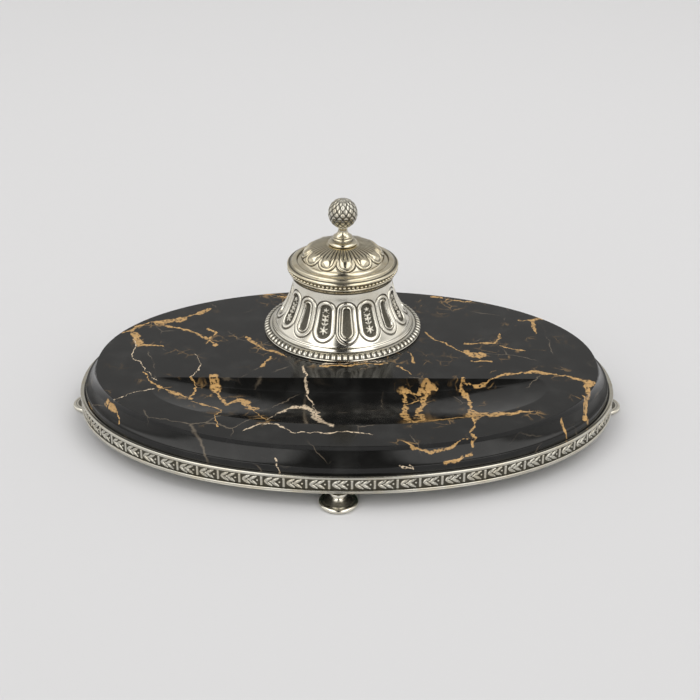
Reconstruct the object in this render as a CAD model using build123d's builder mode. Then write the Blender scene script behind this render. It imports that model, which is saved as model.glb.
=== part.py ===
"""Desk inkwell: a silver well with a hinged domed lid on an oval marble stand with four feet.

Frame: +Z up, the writer sits on the -Y side, origin on the table below the middle of the stand.
All sizes are in millimetres.
"""
from build123d import *
from math import copysign, cos, hypot, pi, sin
import os

os.makedirs("parts", exist_ok=True)

# ---------------------------------------------------------------- driving dimensions
# Stand outline: a slightly squared oval, taken over the silver mouldings.
HALF_LENGTH = 170.0
HALF_DEPTH = 116.0
OVAL_POWER = 2.1
OVAL_STATIONS = 40

# Heights above the table.
RIM_BOTTOM = 8.9
RIM_TOP = 20.5
MARBLE_STEP = 24.3
MARBLE_TOP = 34.3
COLLAR_BOTTOM = 72.9
LID_PARTING = 77.4

# Rim mount round the stone.
WIRE_DEPTH = 0.7
STRIP_THICK = 0.6
FLANGE_THICK = 1.2
FLANGE_REACH = 12.0
LIP_REACH = 2.6
LIP_THICK = 0.8
UPPER_WIRE = 2.1
LOWER_WIRE = 2.5

# Moulded edge of the stone, as (inset from the rim's face, height) from the step upwards.
FASCIA_INSET = 3.0
EDGE_SECTIONS = [(3.8, MARBLE_STEP), (4.8, MARBLE_STEP), (6.6, 25.6), (8.6, 28.0), (10.0, 30.8),
                 (10.8, 33.6), (10.8, MARBLE_TOP)]

# Pen tray: a shallow scoop, cut off by a straight wall at its back.
TRAY_X = 1.0
TRAY_Y = -34.0
TRAY_WALL_Y = -24.0
TRAY_HALF_LENGTH = 122.0
TRAY_HALF_WIDTH = 47.0
TRAY_DEPTH = 9.0

# Feet.
FOOT_INSET = 4.0
FOOT_RADIUS = 11.8
FRONT_FOOT_X = -4.6
STUD_RADIUS = 1.5
FOOT_NUT_FLATS = 5.0
FOOT_NUT_HEIGHT = 2.4
FOOT_STUD_TOP = 14.3
NUT_POCKET_RADIUS = 3.6

# Well.
WELL_X = -3.2
WELL_Y = 48.5
NECK_RADIUS = 32.4
SKIRT_RADIUS = 47.3
SKIRT_BOTTOM = 38.4
FLARE_POWER = 2.0
SHEET = 0.9
BORDER_RADIUS = 52.9
BORDER_FOOT_RADIUS = 51.9
BORDER_INNER_RADIUS = 46.4
BASE_PLATE_THICK = 1.3
BOSS_RADIUS = 6.0
BOSS_TOP = 41.0
COLLAR_INNER_RADIUS = 31.0

# Fixing through the stone.
FIXING_RADIUS = 2.5
FIXING_HOLE_RADIUS = 3.0
COUNTERBORE_RADIUS = 11.0
COUNTERBORE_TOP = 17.1
WASHER_RADIUS = 8.0
WASHER_THICK = 1.2
FIXING_NUT_FLATS = 8.0
FIXING_NUT_HEIGHT = 4.0

# Glass liner and the ring that carries it.
LINER_RADIUS = 27.5
LINER_WALL = 2.6
LINER_FLANGE_RADIUS = 30.4
LINER_BOTTOM = 43.0
SEAT_RING_TOP = 70.6
LINER_TOP = 72.9

# Lid.
LID_SKIRT_RADIUS = 32.6
LID_SHOULDER = 82.0
LEDGE_RADIUS = 29.4
LEDGE = 83.2
DOME_RADIUS = 26.7
DOME_START = 84.8
DOME_BREAK_RADIUS = 22.0
DOME_BREAK = 90.7
CROWN_RADIUS = 9.0
CROWN = 94.4
BEZEL_RADIUS = 30.4
BEZEL_BOTTOM = 73.8
BEAD_RING_RADIUS = 36.5
BEAD_RING_TOP = 79.2

# Hinge at the back of the collar.
HINGE_Y = WELL_Y + 38.6
HINGE_Z = LID_PARTING
KNUCKLE_RADIUS = 1.7
PIN_RADIUS = 0.75
PIN_CLEARANCE = 0.05
LID_KNUCKLE_HALF = 2.2
KNUCKLE_GAP = 0.1
HINGE_HALF = 5.2
LEAF_THICK = 1.1

# Finial.
BALL_RADIUS = 9.65
BALL_HALF_HEIGHT = 10.0
BALL_CENTRE = 115.6
BALL_SEAT_RADIUS = 3.3
BALL_SEAT = 106.2
TENON_TOP = 111.0
FINIAL_NUT_FLATS = 5.0

WELL_AXIS = Axis((WELL_X, WELL_Y, 0), (0, 0, 1))
WELL_PLANE = Plane(origin=(WELL_X, WELL_Y, 0), x_dir=(1, 0, 0), z_dir=(0, -1, 0))


# ---------------------------------------------------------------- helpers
def oval_points(inset):
    """Stations on the oval |x/a|^n + |y/b|^n = 1, moved inwards by inset along its normal."""
    points = []
    for station in range(OVAL_STATIONS):
        turn = 2 * pi * (station + 0.5) / OVAL_STATIONS
        across, along = cos(turn), sin(turn)
        x = HALF_LENGTH * copysign(abs(across) ** (2 / OVAL_POWER), across)
        y = HALF_DEPTH * copysign(abs(along) ** (2 / OVAL_POWER), along)
        nx = copysign(abs(x / HALF_LENGTH) ** (OVAL_POWER - 1), x) / HALF_LENGTH
        ny = copysign(abs(y / HALF_DEPTH) ** (OVAL_POWER - 1), y) / HALF_DEPTH
        size = hypot(nx, ny)
        points.append((x - inset * nx / size, y - inset * ny / size))
    return points


def oval_face(height, inset):
    """Face inside the oval at one height."""
    with BuildSketch(Plane.XY.offset(height), mode=Mode.PRIVATE) as section:
        with BuildLine():
            Spline(*oval_points(inset), periodic=True)
        make_face()
    return section.sketch.face()


def oval_band(name, low, high, outer_inset, inner_inset):
    """Band between two ovals, from one height to another."""
    with BuildPart() as band:
        add(oval_face(low, outer_inset))
        extrude(amount=high - low)
        add(oval_face(low, inner_inset))
        extrude(amount=high - low, mode=Mode.SUBTRACT)
    return finish(band, name)


def turned(name, outline, plane=WELL_PLANE, axis=WELL_AXIS):
    """Solid turned about an upright axis from corners given as (radius, height)."""
    with BuildPart() as piece:
        with BuildSketch(plane):
            with BuildLine():
                Polyline(*outline, close=True)
            make_face()
        revolve(axis=axis)
    return finish(piece, name)


def finish(piece, name):
    """Label a finished piece and write its file."""
    piece.part.label = name
    export_step(piece.part, f"parts/{name}.step")
    return piece


# ---------------------------------------------------------------- marble slab
FOOT_PLACES = {
    "foot_front": (FRONT_FOOT_X, -(HALF_DEPTH - FOOT_INSET)),
    "foot_back": (0.0, HALF_DEPTH - FOOT_INSET),
    "foot_left": (-(HALF_LENGTH - FOOT_INSET), 0.0),
    "foot_right": (HALF_LENGTH - FOOT_INSET, 0.0),
}
SLAB_BOTTOM = RIM_BOTTOM + FLANGE_THICK
SLAB_INSET = WIRE_DEPTH + STRIP_THICK
SHOULDER = RIM_TOP - LIP_THICK

# The scoop is part of a big spheroid about a line along X, so every cross section is an arc.
SCOOP_SPIN = (TRAY_HALF_WIDTH ** 2 + TRAY_DEPTH ** 2) / (2 * TRAY_DEPTH)
SCOOP_RISE = SCOOP_SPIN - TRAY_DEPTH
SCOOP_REACH = TRAY_HALF_LENGTH / (1 - (SCOOP_RISE / SCOOP_SPIN) ** 2) ** 0.5
SCOOP_PLANE = Plane(origin=(TRAY_X, TRAY_Y, MARBLE_TOP + SCOOP_RISE))

with BuildPart() as tray_cutter:
    with BuildSketch(SCOOP_PLANE):
        with BuildLine():
            tray_arc = EllipticalCenterArc((0, 0), SCOOP_REACH, SCOOP_SPIN, 0, arc_size=180)
            Line(tray_arc @ 1, tray_arc @ 0)
        make_face()
    revolve(axis=Axis((TRAY_X, TRAY_Y, MARBLE_TOP + SCOOP_RISE), (1, 0, 0)))
    with Locations((TRAY_X, TRAY_WALL_Y, MARBLE_TOP)):
        Box(3 * TRAY_HALF_LENGTH, 3 * TRAY_HALF_WIDTH, 4 * TRAY_DEPTH,
            align=(Align.CENTER, Align.MAX, Align.CENTER), mode=Mode.INTERSECT)

with BuildPart() as marble_slab:
    add(oval_face(SLAB_BOTTOM, SLAB_INSET))
    extrude(amount=SHOULDER - SLAB_BOTTOM)
    add(oval_face(SHOULDER, FASCIA_INSET))
    add(oval_face(MARBLE_STEP, EDGE_SECTIONS[0][0]))
    loft(ruled=True)
    for inset, height in EDGE_SECTIONS[1:]:
        add(oval_face(height, inset))
    loft(ruled=True)
    add(tray_cutter.part, mode=Mode.SUBTRACT)
    with BuildSketch(Plane.XY.offset(SLAB_BOTTOM)):
        with Locations((WELL_X, WELL_Y)):
            Circle(COUNTERBORE_RADIUS)
    extrude(amount=COUNTERBORE_TOP - SLAB_BOTTOM, mode=Mode.SUBTRACT)
    with BuildSketch(Plane.XY.offset(SLAB_BOTTOM)):
        with Locations((WELL_X, WELL_Y)):
            Circle(FIXING_HOLE_RADIUS)
    extrude(amount=MARBLE_TOP - SLAB_BOTTOM + 1, mode=Mode.SUBTRACT)
    with BuildSketch(Plane.XY.offset(SLAB_BOTTOM)):
        with Locations(*FOOT_PLACES.values()):
            Circle(NUT_POCKET_RADIUS)
    extrude(amount=FOOT_STUD_TOP + 0.7 - SLAB_BOTTOM, mode=Mode.SUBTRACT)
finish(marble_slab, "marble_slab")

# ---------------------------------------------------------------- silver rim mount
oval_band("rim_frieze_strip", RIM_BOTTOM, SHOULDER, WIRE_DEPTH, SLAB_INSET)
oval_band("rim_lower_moulding", RIM_BOTTOM, RIM_BOTTOM + LOWER_WIRE, 0, WIRE_DEPTH)

with BuildPart() as rim_upper_moulding:
    add(oval_face(RIM_TOP - UPPER_WIRE, 0))
    extrude(amount=UPPER_WIRE)
    add(oval_face(RIM_TOP - UPPER_WIRE, WIRE_DEPTH))
    extrude(amount=UPPER_WIRE - LIP_THICK, mode=Mode.SUBTRACT)
    add(oval_face(SHOULDER, LIP_REACH))
    extrude(amount=LIP_THICK, mode=Mode.SUBTRACT)
finish(rim_upper_moulding, "rim_upper_moulding")

with BuildPart() as rim_flange:
    add(oval_face(RIM_BOTTOM, SLAB_INSET))
    extrude(amount=FLANGE_THICK)
    add(oval_face(RIM_BOTTOM, FLANGE_REACH))
    extrude(amount=FLANGE_THICK, mode=Mode.SUBTRACT)
    with BuildSketch(Plane.XY.offset(RIM_BOTTOM)):
        with Locations(*FOOT_PLACES.values()):
            Circle(STUD_RADIUS)
    extrude(amount=FLANGE_THICK, mode=Mode.SUBTRACT)
finish(rim_flange, "rim_flange")

with BuildPart() as base_felt:
    add(oval_face(RIM_BOTTOM, FLANGE_REACH))
    extrude(amount=FLANGE_THICK)
    with BuildSketch(Plane.XY.offset(RIM_BOTTOM)):
        with Locations((WELL_X, WELL_Y)):
            Circle(COUNTERBORE_RADIUS)
    extrude(amount=FLANGE_THICK, mode=Mode.SUBTRACT)
finish(base_felt, "base_felt")


# ---------------------------------------------------------------- feet
def foot(name, place):
    """Turned foot: a flat-bottomed dish, a short stem, a collar and a screwed stud."""
    plane = Plane(origin=(place[0], place[1], 0), x_dir=(1, 0, 0), z_dir=(0, -1, 0))
    with BuildPart() as piece:
        with BuildSketch(plane):
            with BuildLine():
                Line((0, 0), (FOOT_RADIUS - 1.0, 0))
                rim = ThreePointArc((FOOT_RADIUS - 1.0, 0), (FOOT_RADIUS, 1.5), (FOOT_RADIUS - 1.6, 3.0))
                lip = Line(rim @ 1, (FOOT_RADIUS - 2.4, 2.6))
                dish = ThreePointArc(lip @ 1, (5.4, 3.6), (3.3, 5.4))
                stem = Line(dish @ 1, (3.3, 6.2))
                Polyline(stem @ 1, (5.4, 7.4), (5.4, RIM_BOTTOM), (STUD_RADIUS, RIM_BOTTOM),
                         (STUD_RADIUS, FOOT_STUD_TOP), (0, FOOT_STUD_TOP), (0, 0))
            make_face()
        revolve(axis=Axis((place[0], place[1], 0), (0, 0, 1)))
    return finish(piece, name)


for foot_name, foot_place in FOOT_PLACES.items():
    foot(foot_name, foot_place)

# One flat of each nut faces the strip, so the hexagons on the long sides are turned.
with BuildPart() as foot_nuts:
    for foot_name, foot_place in FOOT_PLACES.items():
        side = 0 if foot_name in ("foot_front", "foot_back") else 30
        with BuildSketch(Plane.XY.offset(SLAB_BOTTOM)):
            with Locations(foot_place):
                RegularPolygon(FOOT_NUT_FLATS / 2, 6, major_radius=False, rotation=side)
                Circle(STUD_RADIUS, mode=Mode.SUBTRACT)
        extrude(amount=FOOT_NUT_HEIGHT)
finish(foot_nuts, "foot_nuts")


# ---------------------------------------------------------------- well
def flare(height):
    """Outer radius of the well: a straight neck that sweeps out towards its foot."""
    drop = (COLLAR_BOTTOM - height) / (COLLAR_BOTTOM - SKIRT_BOTTOM)
    return NECK_RADIUS + (SKIRT_RADIUS - NECK_RADIUS) * drop ** FLARE_POWER


FLARE_HEIGHTS = [COLLAR_BOTTOM - step * (COLLAR_BOTTOM - SKIRT_BOTTOM) / 8 for step in range(9)]

with BuildPart() as well_body:
    with BuildSketch(WELL_PLANE):
        with BuildLine():
            Spline(*[(flare(height), height) for height in FLARE_HEIGHTS])
            Line((SKIRT_RADIUS, SKIRT_BOTTOM), (SKIRT_RADIUS - SHEET, SKIRT_BOTTOM))
            Spline(*[(flare(height) - SHEET, height) for height in reversed(FLARE_HEIGHTS)])
            Line((NECK_RADIUS - SHEET, COLLAR_BOTTOM), (NECK_RADIUS, COLLAR_BOTTOM))
        make_face()
    revolve(axis=WELL_AXIS)
finish(well_body, "well_body")

with BuildPart() as well_foot_border:
    with BuildSketch(WELL_PLANE):
        with BuildLine():
            Polyline((BORDER_INNER_RADIUS, MARBLE_TOP), (BORDER_FOOT_RADIUS, MARBLE_TOP),
                     (BORDER_FOOT_RADIUS, MARBLE_TOP + 0.8))
            bulge = ThreePointArc((BORDER_FOOT_RADIUS, MARBLE_TOP + 0.8), (BORDER_RADIUS, 36.4),
                                  (50.2, SKIRT_BOTTOM))
            Polyline(bulge @ 1, (BORDER_INNER_RADIUS, SKIRT_BOTTOM), (BORDER_INNER_RADIUS, MARBLE_TOP))
        make_face()
    revolve(axis=WELL_AXIS)
finish(well_foot_border, "well_foot_border")

turned("well_base_plate", [
    (FIXING_RADIUS, MARBLE_TOP), (BORDER_INNER_RADIUS, MARBLE_TOP),
    (BORDER_INNER_RADIUS, MARBLE_TOP + BASE_PLATE_THICK), (BOSS_RADIUS, MARBLE_TOP + BASE_PLATE_THICK),
    (BOSS_RADIUS, BOSS_TOP), (FIXING_RADIUS, BOSS_TOP)])

well_collar = turned("well_collar", [
    (COLLAR_INNER_RADIUS, COLLAR_BOTTOM), (33.9, COLLAR_BOTTOM), (34.1, 74.4), (34.7, 75.4),
    (34.7, LID_PARTING), (COLLAR_INNER_RADIUS, LID_PARTING)])

# ---------------------------------------------------------------- fixing through the stone
with BuildPart() as fixing_stud:
    with BuildSketch(Plane.XY.offset(COUNTERBORE_TOP - WASHER_THICK - FIXING_NUT_HEIGHT - 1)):
        with Locations((WELL_X, WELL_Y)):
            Circle(FIXING_RADIUS)
    extrude(amount=BOSS_TOP - COUNTERBORE_TOP + WASHER_THICK + FIXING_NUT_HEIGHT + 1)
finish(fixing_stud, "fixing_stud")

with BuildPart() as fixing_washer:
    with BuildSketch(Plane.XY.offset(COUNTERBORE_TOP - WASHER_THICK)):
        with Locations((WELL_X, WELL_Y)):
            Circle(WASHER_RADIUS)
            Circle(FIXING_RADIUS, mode=Mode.SUBTRACT)
    extrude(amount=WASHER_THICK)
finish(fixing_washer, "fixing_washer")

with BuildPart() as fixing_nut:
    with BuildSketch(Plane.XY.offset(COUNTERBORE_TOP - WASHER_THICK - FIXING_NUT_HEIGHT)):
        with Locations((WELL_X, WELL_Y)):
            RegularPolygon(FIXING_NUT_FLATS / 2, 6, major_radius=False)
            Circle(FIXING_RADIUS, mode=Mode.SUBTRACT)
    extrude(amount=FIXING_NUT_HEIGHT)
finish(fixing_nut, "fixing_nut")

# ---------------------------------------------------------------- glass liner and its seat
turned("liner_seat_ring", [
    (LINER_RADIUS + 0.4, SEAT_RING_TOP - 1.4), (NECK_RADIUS - SHEET, SEAT_RING_TOP - 1.4),
    (NECK_RADIUS - SHEET, SEAT_RING_TOP), (LINER_RADIUS + 0.4, SEAT_RING_TOP)])

turned("glass_liner", [
    (0, LINER_BOTTOM), (LINER_RADIUS, LINER_BOTTOM), (LINER_RADIUS, SEAT_RING_TOP),
    (LINER_FLANGE_RADIUS, SEAT_RING_TOP), (LINER_FLANGE_RADIUS, LINER_TOP),
    (LINER_RADIUS - LINER_WALL, LINER_TOP), (LINER_RADIUS - LINER_WALL, LINER_BOTTOM + LINER_WALL + 2),
    (LINER_RADIUS - LINER_WALL - 2, LINER_BOTTOM + LINER_WALL), (0, LINER_BOTTOM + LINER_WALL)])

# ---------------------------------------------------------------- lid
with BuildPart() as lid_shell:
    with BuildSketch(WELL_PLANE):
        with BuildLine():
            Polyline((LID_SKIRT_RADIUS, LID_PARTING), (LID_SKIRT_RADIUS, LID_SHOULDER),
                     (LEDGE_RADIUS, LEDGE), (DOME_RADIUS, DOME_START))
            ThreePointArc((DOME_RADIUS, DOME_START), (25.3, 88.1), (DOME_BREAK_RADIUS, DOME_BREAK))
            ThreePointArc((DOME_BREAK_RADIUS, DOME_BREAK), (16.0, 93.0), (CROWN_RADIUS, CROWN))
            Polyline((CROWN_RADIUS, CROWN), (STUD_RADIUS, CROWN), (STUD_RADIUS, CROWN - SHEET),
                     (CROWN_RADIUS, CROWN - SHEET))
            ThreePointArc((CROWN_RADIUS, CROWN - SHEET), (15.8, 92.1),
                          (DOME_BREAK_RADIUS - 0.5, DOME_BREAK - 0.8))
            ThreePointArc((DOME_BREAK_RADIUS - 0.5, DOME_BREAK - 0.8), (24.4, 87.7),
                          (DOME_RADIUS - SHEET, DOME_START - 0.5))
            Polyline((DOME_RADIUS - SHEET, DOME_START - 0.5), (LEDGE_RADIUS - 0.4, LEDGE - SHEET),
                     (LID_SKIRT_RADIUS - SHEET, LID_SHOULDER - SHEET),
                     (LID_SKIRT_RADIUS - SHEET, LID_PARTING), (LID_SKIRT_RADIUS, LID_PARTING))
        make_face()
    revolve(axis=WELL_AXIS)
finish(lid_shell, "lid_shell")

with BuildPart() as lid_rim_moulding:
    with BuildSketch(WELL_PLANE):
        with BuildLine():
            Line((LID_SKIRT_RADIUS, BEAD_RING_TOP), (35.1, BEAD_RING_TOP))
            ThreePointArc((35.1, BEAD_RING_TOP), (36.6, 80.7), (35.1, 82.2))
            Line((35.1, 82.2), (33.0, 82.2))
            ThreePointArc((33.0, 82.2), (31.9, 84.0), (29.8, 84.0))
            Polyline((29.8, 84.0), (LEDGE_RADIUS, LEDGE), (LID_SKIRT_RADIUS, LID_SHOULDER),
                     (LID_SKIRT_RADIUS, BEAD_RING_TOP))
        make_face()
    revolve(axis=WELL_AXIS)
finish(lid_rim_moulding, "lid_rim_moulding")

turned("lid_bezel", [
    (BEZEL_RADIUS - SHEET, BEZEL_BOTTOM), (BEZEL_RADIUS, BEZEL_BOTTOM), (BEZEL_RADIUS, LID_PARTING),
    (LID_SKIRT_RADIUS - SHEET, LID_PARTING), (LID_SKIRT_RADIUS - SHEET, LID_PARTING + 1.8),
    (BEZEL_RADIUS - SHEET, LID_PARTING + 1.8)])

# ---------------------------------------------------------------- hinge
HINGE_PLANE = Plane(origin=(WELL_X, HINGE_Y, HINGE_Z), x_dir=(0, 1, 0), z_dir=(1, 0, 0))

with BuildPart() as hinge_leaf_lid:
    with BuildSketch(HINGE_PLANE.offset(-LID_KNUCKLE_HALF)):
        Circle(KNUCKLE_RADIUS)
        with Locations((0, KNUCKLE_RADIUS)):
            Rectangle(5.4, LEAF_THICK, align=(Align.MAX, Align.MAX))
        Circle(PIN_RADIUS + PIN_CLEARANCE, mode=Mode.SUBTRACT)
    extrude(amount=2 * LID_KNUCKLE_HALF)
finish(hinge_leaf_lid, "hinge_leaf_lid")

with BuildPart() as lid_bead_ring:
    with BuildSketch(WELL_PLANE):
        with BuildLine():
            Polyline((35.6, LID_PARTING), (LID_SKIRT_RADIUS, LID_PARTING), (LID_SKIRT_RADIUS, BEAD_RING_TOP),
                     (35.6, BEAD_RING_TOP))
            ThreePointArc((35.6, BEAD_RING_TOP), (BEAD_RING_RADIUS, 78.3), (35.6, LID_PARTING))
        make_face()
    revolve(axis=WELL_AXIS)
    with Locations((WELL_X, HINGE_Y, HINGE_Z)):
        Box(2 * LID_KNUCKLE_HALF, 10.8, 2 * KNUCKLE_RADIUS + 0.4, mode=Mode.SUBTRACT)
finish(lid_bead_ring, "lid_bead_ring")

with BuildPart() as hinge_leaf_fixed:
    for near in (-HINGE_HALF + 0.2, LID_KNUCKLE_HALF + KNUCKLE_GAP):
        with BuildSketch(HINGE_PLANE.offset(near)):
            Circle(KNUCKLE_RADIUS)
            with Locations((0, -0.2)):
                Rectangle(5.4, LEAF_THICK, align=(Align.MAX, Align.MAX))
            Circle(PIN_RADIUS, mode=Mode.SUBTRACT)
        extrude(amount=HINGE_HALF - 0.2 - LID_KNUCKLE_HALF - KNUCKLE_GAP)
    add(well_collar.part, mode=Mode.SUBTRACT)
finish(hinge_leaf_fixed, "hinge_leaf_fixed")

with BuildPart() as hinge_pin:
    with BuildSketch(HINGE_PLANE.offset(-HINGE_HALF)):
        Circle(PIN_RADIUS)
    extrude(amount=2 * HINGE_HALF)
finish(hinge_pin, "hinge_pin")

# ---------------------------------------------------------------- finial
WASHER_TOP = CROWN - SHEET
STEM_BOTTOM = CROWN - 4.8
turned("finial_washer", [
    (STUD_RADIUS, WASHER_TOP - 0.8), (5.2, WASHER_TOP - 0.8), (5.2, WASHER_TOP), (STUD_RADIUS, WASHER_TOP)])

with BuildPart() as finial_nut:
    with BuildSketch(Plane.XY.offset(WASHER_TOP - 0.8 - FOOT_NUT_HEIGHT)):
        with Locations((WELL_X, WELL_Y)):
            RegularPolygon(FINIAL_NUT_FLATS / 2, 6, major_radius=False)
            Circle(STUD_RADIUS, mode=Mode.SUBTRACT)
    extrude(amount=FOOT_NUT_HEIGHT)
finish(finial_nut, "finial_nut")

with BuildPart() as finial_stem:
    with BuildSketch(WELL_PLANE):
        with BuildLine():
            Polyline((0, STEM_BOTTOM), (STUD_RADIUS, STEM_BOTTOM), (STUD_RADIUS, CROWN), (8.5, CROWN))
            ThreePointArc((8.5, CROWN), (9.8, 95.6), (8.5, 96.8))
            ThreePointArc((8.5, 96.8), (6.4, 97.1), (5.9, 97.9))
            ThreePointArc((5.9, 97.9), (6.7, 98.5), (5.9, 99.1))
            Line((5.9, 99.1), (5.5, 99.4))
            ThreePointArc((5.5, 99.4), (6.3, 100.0), (5.5, 100.6))
            ThreePointArc((5.5, 100.6), (3.6, 102.2), (2.9, 104.2))
            Polyline((2.9, 104.2), (BALL_SEAT_RADIUS, 105.5), (BALL_SEAT_RADIUS, BALL_SEAT),
                     (STUD_RADIUS, BALL_SEAT), (STUD_RADIUS, TENON_TOP), (0, TENON_TOP), (0, STEM_BOTTOM))
        make_face()
    revolve(axis=WELL_AXIS)
finish(finial_stem, "finial_stem")

with BuildPart() as finial_ball:
    with BuildSketch(WELL_PLANE):
        with BuildLine():
            crown_arc = EllipticalCenterArc((0, BALL_CENTRE), BALL_RADIUS, BALL_HALF_HEIGHT, -90, arc_size=180)
            Line(crown_arc @ 1, crown_arc @ 0)
        make_face()
        with Locations((0, BALL_SEAT)):
            Rectangle(4 * BALL_RADIUS, BALL_RADIUS, align=(Align.CENTER, Align.MAX), mode=Mode.SUBTRACT)
        with Locations((0, BALL_SEAT)):
            Rectangle(STUD_RADIUS, TENON_TOP - BALL_SEAT, align=(Align.MIN, Align.MIN), mode=Mode.SUBTRACT)
    revolve(axis=WELL_AXIS)
finish(finial_ball, "finial_ball")
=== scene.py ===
"""Desk inkwell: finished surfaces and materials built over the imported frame.

Lengths in this script are millimetres until a mesh is filled, and the frame itself is in metres.
Angles round the well start at the front (-Y) and run towards +X.
"""

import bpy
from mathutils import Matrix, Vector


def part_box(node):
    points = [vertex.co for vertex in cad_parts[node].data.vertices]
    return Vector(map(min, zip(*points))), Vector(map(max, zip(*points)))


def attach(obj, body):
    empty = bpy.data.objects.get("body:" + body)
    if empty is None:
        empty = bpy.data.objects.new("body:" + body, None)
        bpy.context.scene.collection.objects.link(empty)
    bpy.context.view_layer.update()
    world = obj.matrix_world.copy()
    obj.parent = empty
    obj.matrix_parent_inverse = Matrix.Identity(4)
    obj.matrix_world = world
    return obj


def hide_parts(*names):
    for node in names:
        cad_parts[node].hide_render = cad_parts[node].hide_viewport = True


bl_info = {
    "name": "Desk Inkwell",
    "version": (1, 0, 0),
    "blender": (4, 5, 0),
    "location": "3D View > Sidebar > Inkwell",
    "description": "Silver well with a hinged lid on an oval veined marble stand",
    "category": "Add Mesh",
}

import bpy
import numpy as np
from bpy.props import FloatProperty, FloatVectorProperty, IntProperty, PointerProperty
from mathutils import Quaternion, Vector

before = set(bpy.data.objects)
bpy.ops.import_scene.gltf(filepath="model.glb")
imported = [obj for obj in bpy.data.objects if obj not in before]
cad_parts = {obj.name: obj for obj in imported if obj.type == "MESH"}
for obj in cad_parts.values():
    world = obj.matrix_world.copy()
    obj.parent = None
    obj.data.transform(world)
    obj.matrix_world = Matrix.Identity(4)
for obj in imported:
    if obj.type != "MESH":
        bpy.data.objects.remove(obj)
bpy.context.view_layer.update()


MM = 0.001
TURN = 2 * np.pi

SLAB_LOW, SLAB_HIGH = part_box("marble_slab")
RIM_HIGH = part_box("rim_upper_moulding")[1]
BORDER_LOW, BORDER_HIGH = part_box("well_foot_border")
BALL_LOW, BALL_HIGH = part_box("finial_ball")
HALF_LENGTH = RIM_HIGH.x / MM
HALF_DEPTH = RIM_HIGH.y / MM
OVAL_POWER = 2.1
MARBLE_TOP = SLAB_HIGH.z / MM
RIM_TOP = RIM_HIGH.z / MM
WELL = ((BORDER_LOW.x + BORDER_HIGH.x) / 2 / MM, (BORDER_LOW.y + BORDER_HIGH.y) / 2 / MM)


# ---------------------------------------------------------------- settings
class InkwellSizes(bpy.types.PropertyGroup):
    cartouches: IntProperty(name="Cartouches", description="Framed panels round the well", default=16, min=4)
    tongues: IntProperty(name="Tongues", description="Tongues chased on the lid", default=12, min=4)
    beads: IntProperty(name="Beads", description="Beads under the lid's rim", default=80, min=12)
    gadroons: IntProperty(name="Gadroons", description="Lobes round the well's foot", default=84, min=12)
    laurels: IntProperty(name="Laurels", description="Laurel groups round the stand", default=70, min=12)
    scale_rings: IntProperty(name="Scale rings", description="Rings of scales", default=10, min=4)


class InkwellFinish(bpy.types.PropertyGroup):
    silver: FloatVectorProperty(name="Silver", description="Polished silver", subtype="COLOR", size=3,
                                default=(0.80, 0.77, 0.68))
    gilt: FloatVectorProperty(name="Warm silver", description="Silver with a trace of gilding left",
                              subtype="COLOR", size=3, default=(0.72, 0.66, 0.51))
    # Dark colour of real tarnishing in the chased hollows, also used as painted shade under and between
    # parts.
    tarnish_and_shade_colour: FloatVectorProperty(name="Tarnishing and shade colour", description="Dark film in the recesses", subtype="COLOR",
                                 size=3, default=(0.055, 0.050, 0.036))
    stone: FloatVectorProperty(name="Stone", description="Ground of the marble", subtype="COLOR", size=3,
                               default=(0.0075, 0.0075, 0.0072))
    gold_vein: FloatVectorProperty(name="Gold vein", description="Ochre veins", subtype="COLOR", size=3,
                                   default=(0.47, 0.285, 0.11))
    pale_vein: FloatVectorProperty(name="Pale vein", description="Calcite veins", subtype="COLOR", size=3,
                                   default=(0.62, 0.50, 0.36))
    felt: FloatVectorProperty(name="Felt", description="Felt under the stand", subtype="COLOR", size=3,
                              default=(0.02, 0.07, 0.035))
    light: FloatProperty(name="Light", description="Strength of the overhead soft box", default=5.6, min=0,
                         unit="POWER")


# ---------------------------------------------------------------- surfaces
def smooth(low, high, value):
    """Cubic step: 0 up to low, 1 from high, 3t^2 - 2t^3 between."""
    t = np.clip((value - low) / (high - low), 0, 1)
    return t * t * (3 - 2 * t)


def dome(value):
    """Half-round section: sqrt(1 - value^2) inside -1..1 and 0 outside."""
    return np.sqrt(np.clip(1 - value ** 2, 0, 1))


def grid_faces(rows, columns, around, closed_section, low_pole, high_pole):
    """Corner numbers of the four-sided faces of one grid, with its seams and poles joined."""
    index = np.arange(rows * columns).reshape(rows, columns)
    if low_pole:
        index[0] = index[0, 0]
    if high_pole:
        index[-1] = index[-1, 0]
    if around:
        index = np.hstack([index, index[:, :1]])
    if closed_section:
        index = np.vstack([index, index[:1]])
    return np.stack([index[:-1, :-1], index[:-1, 1:], index[1:, 1:], index[1:, :-1]], -1).reshape(-1, 4)


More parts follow.
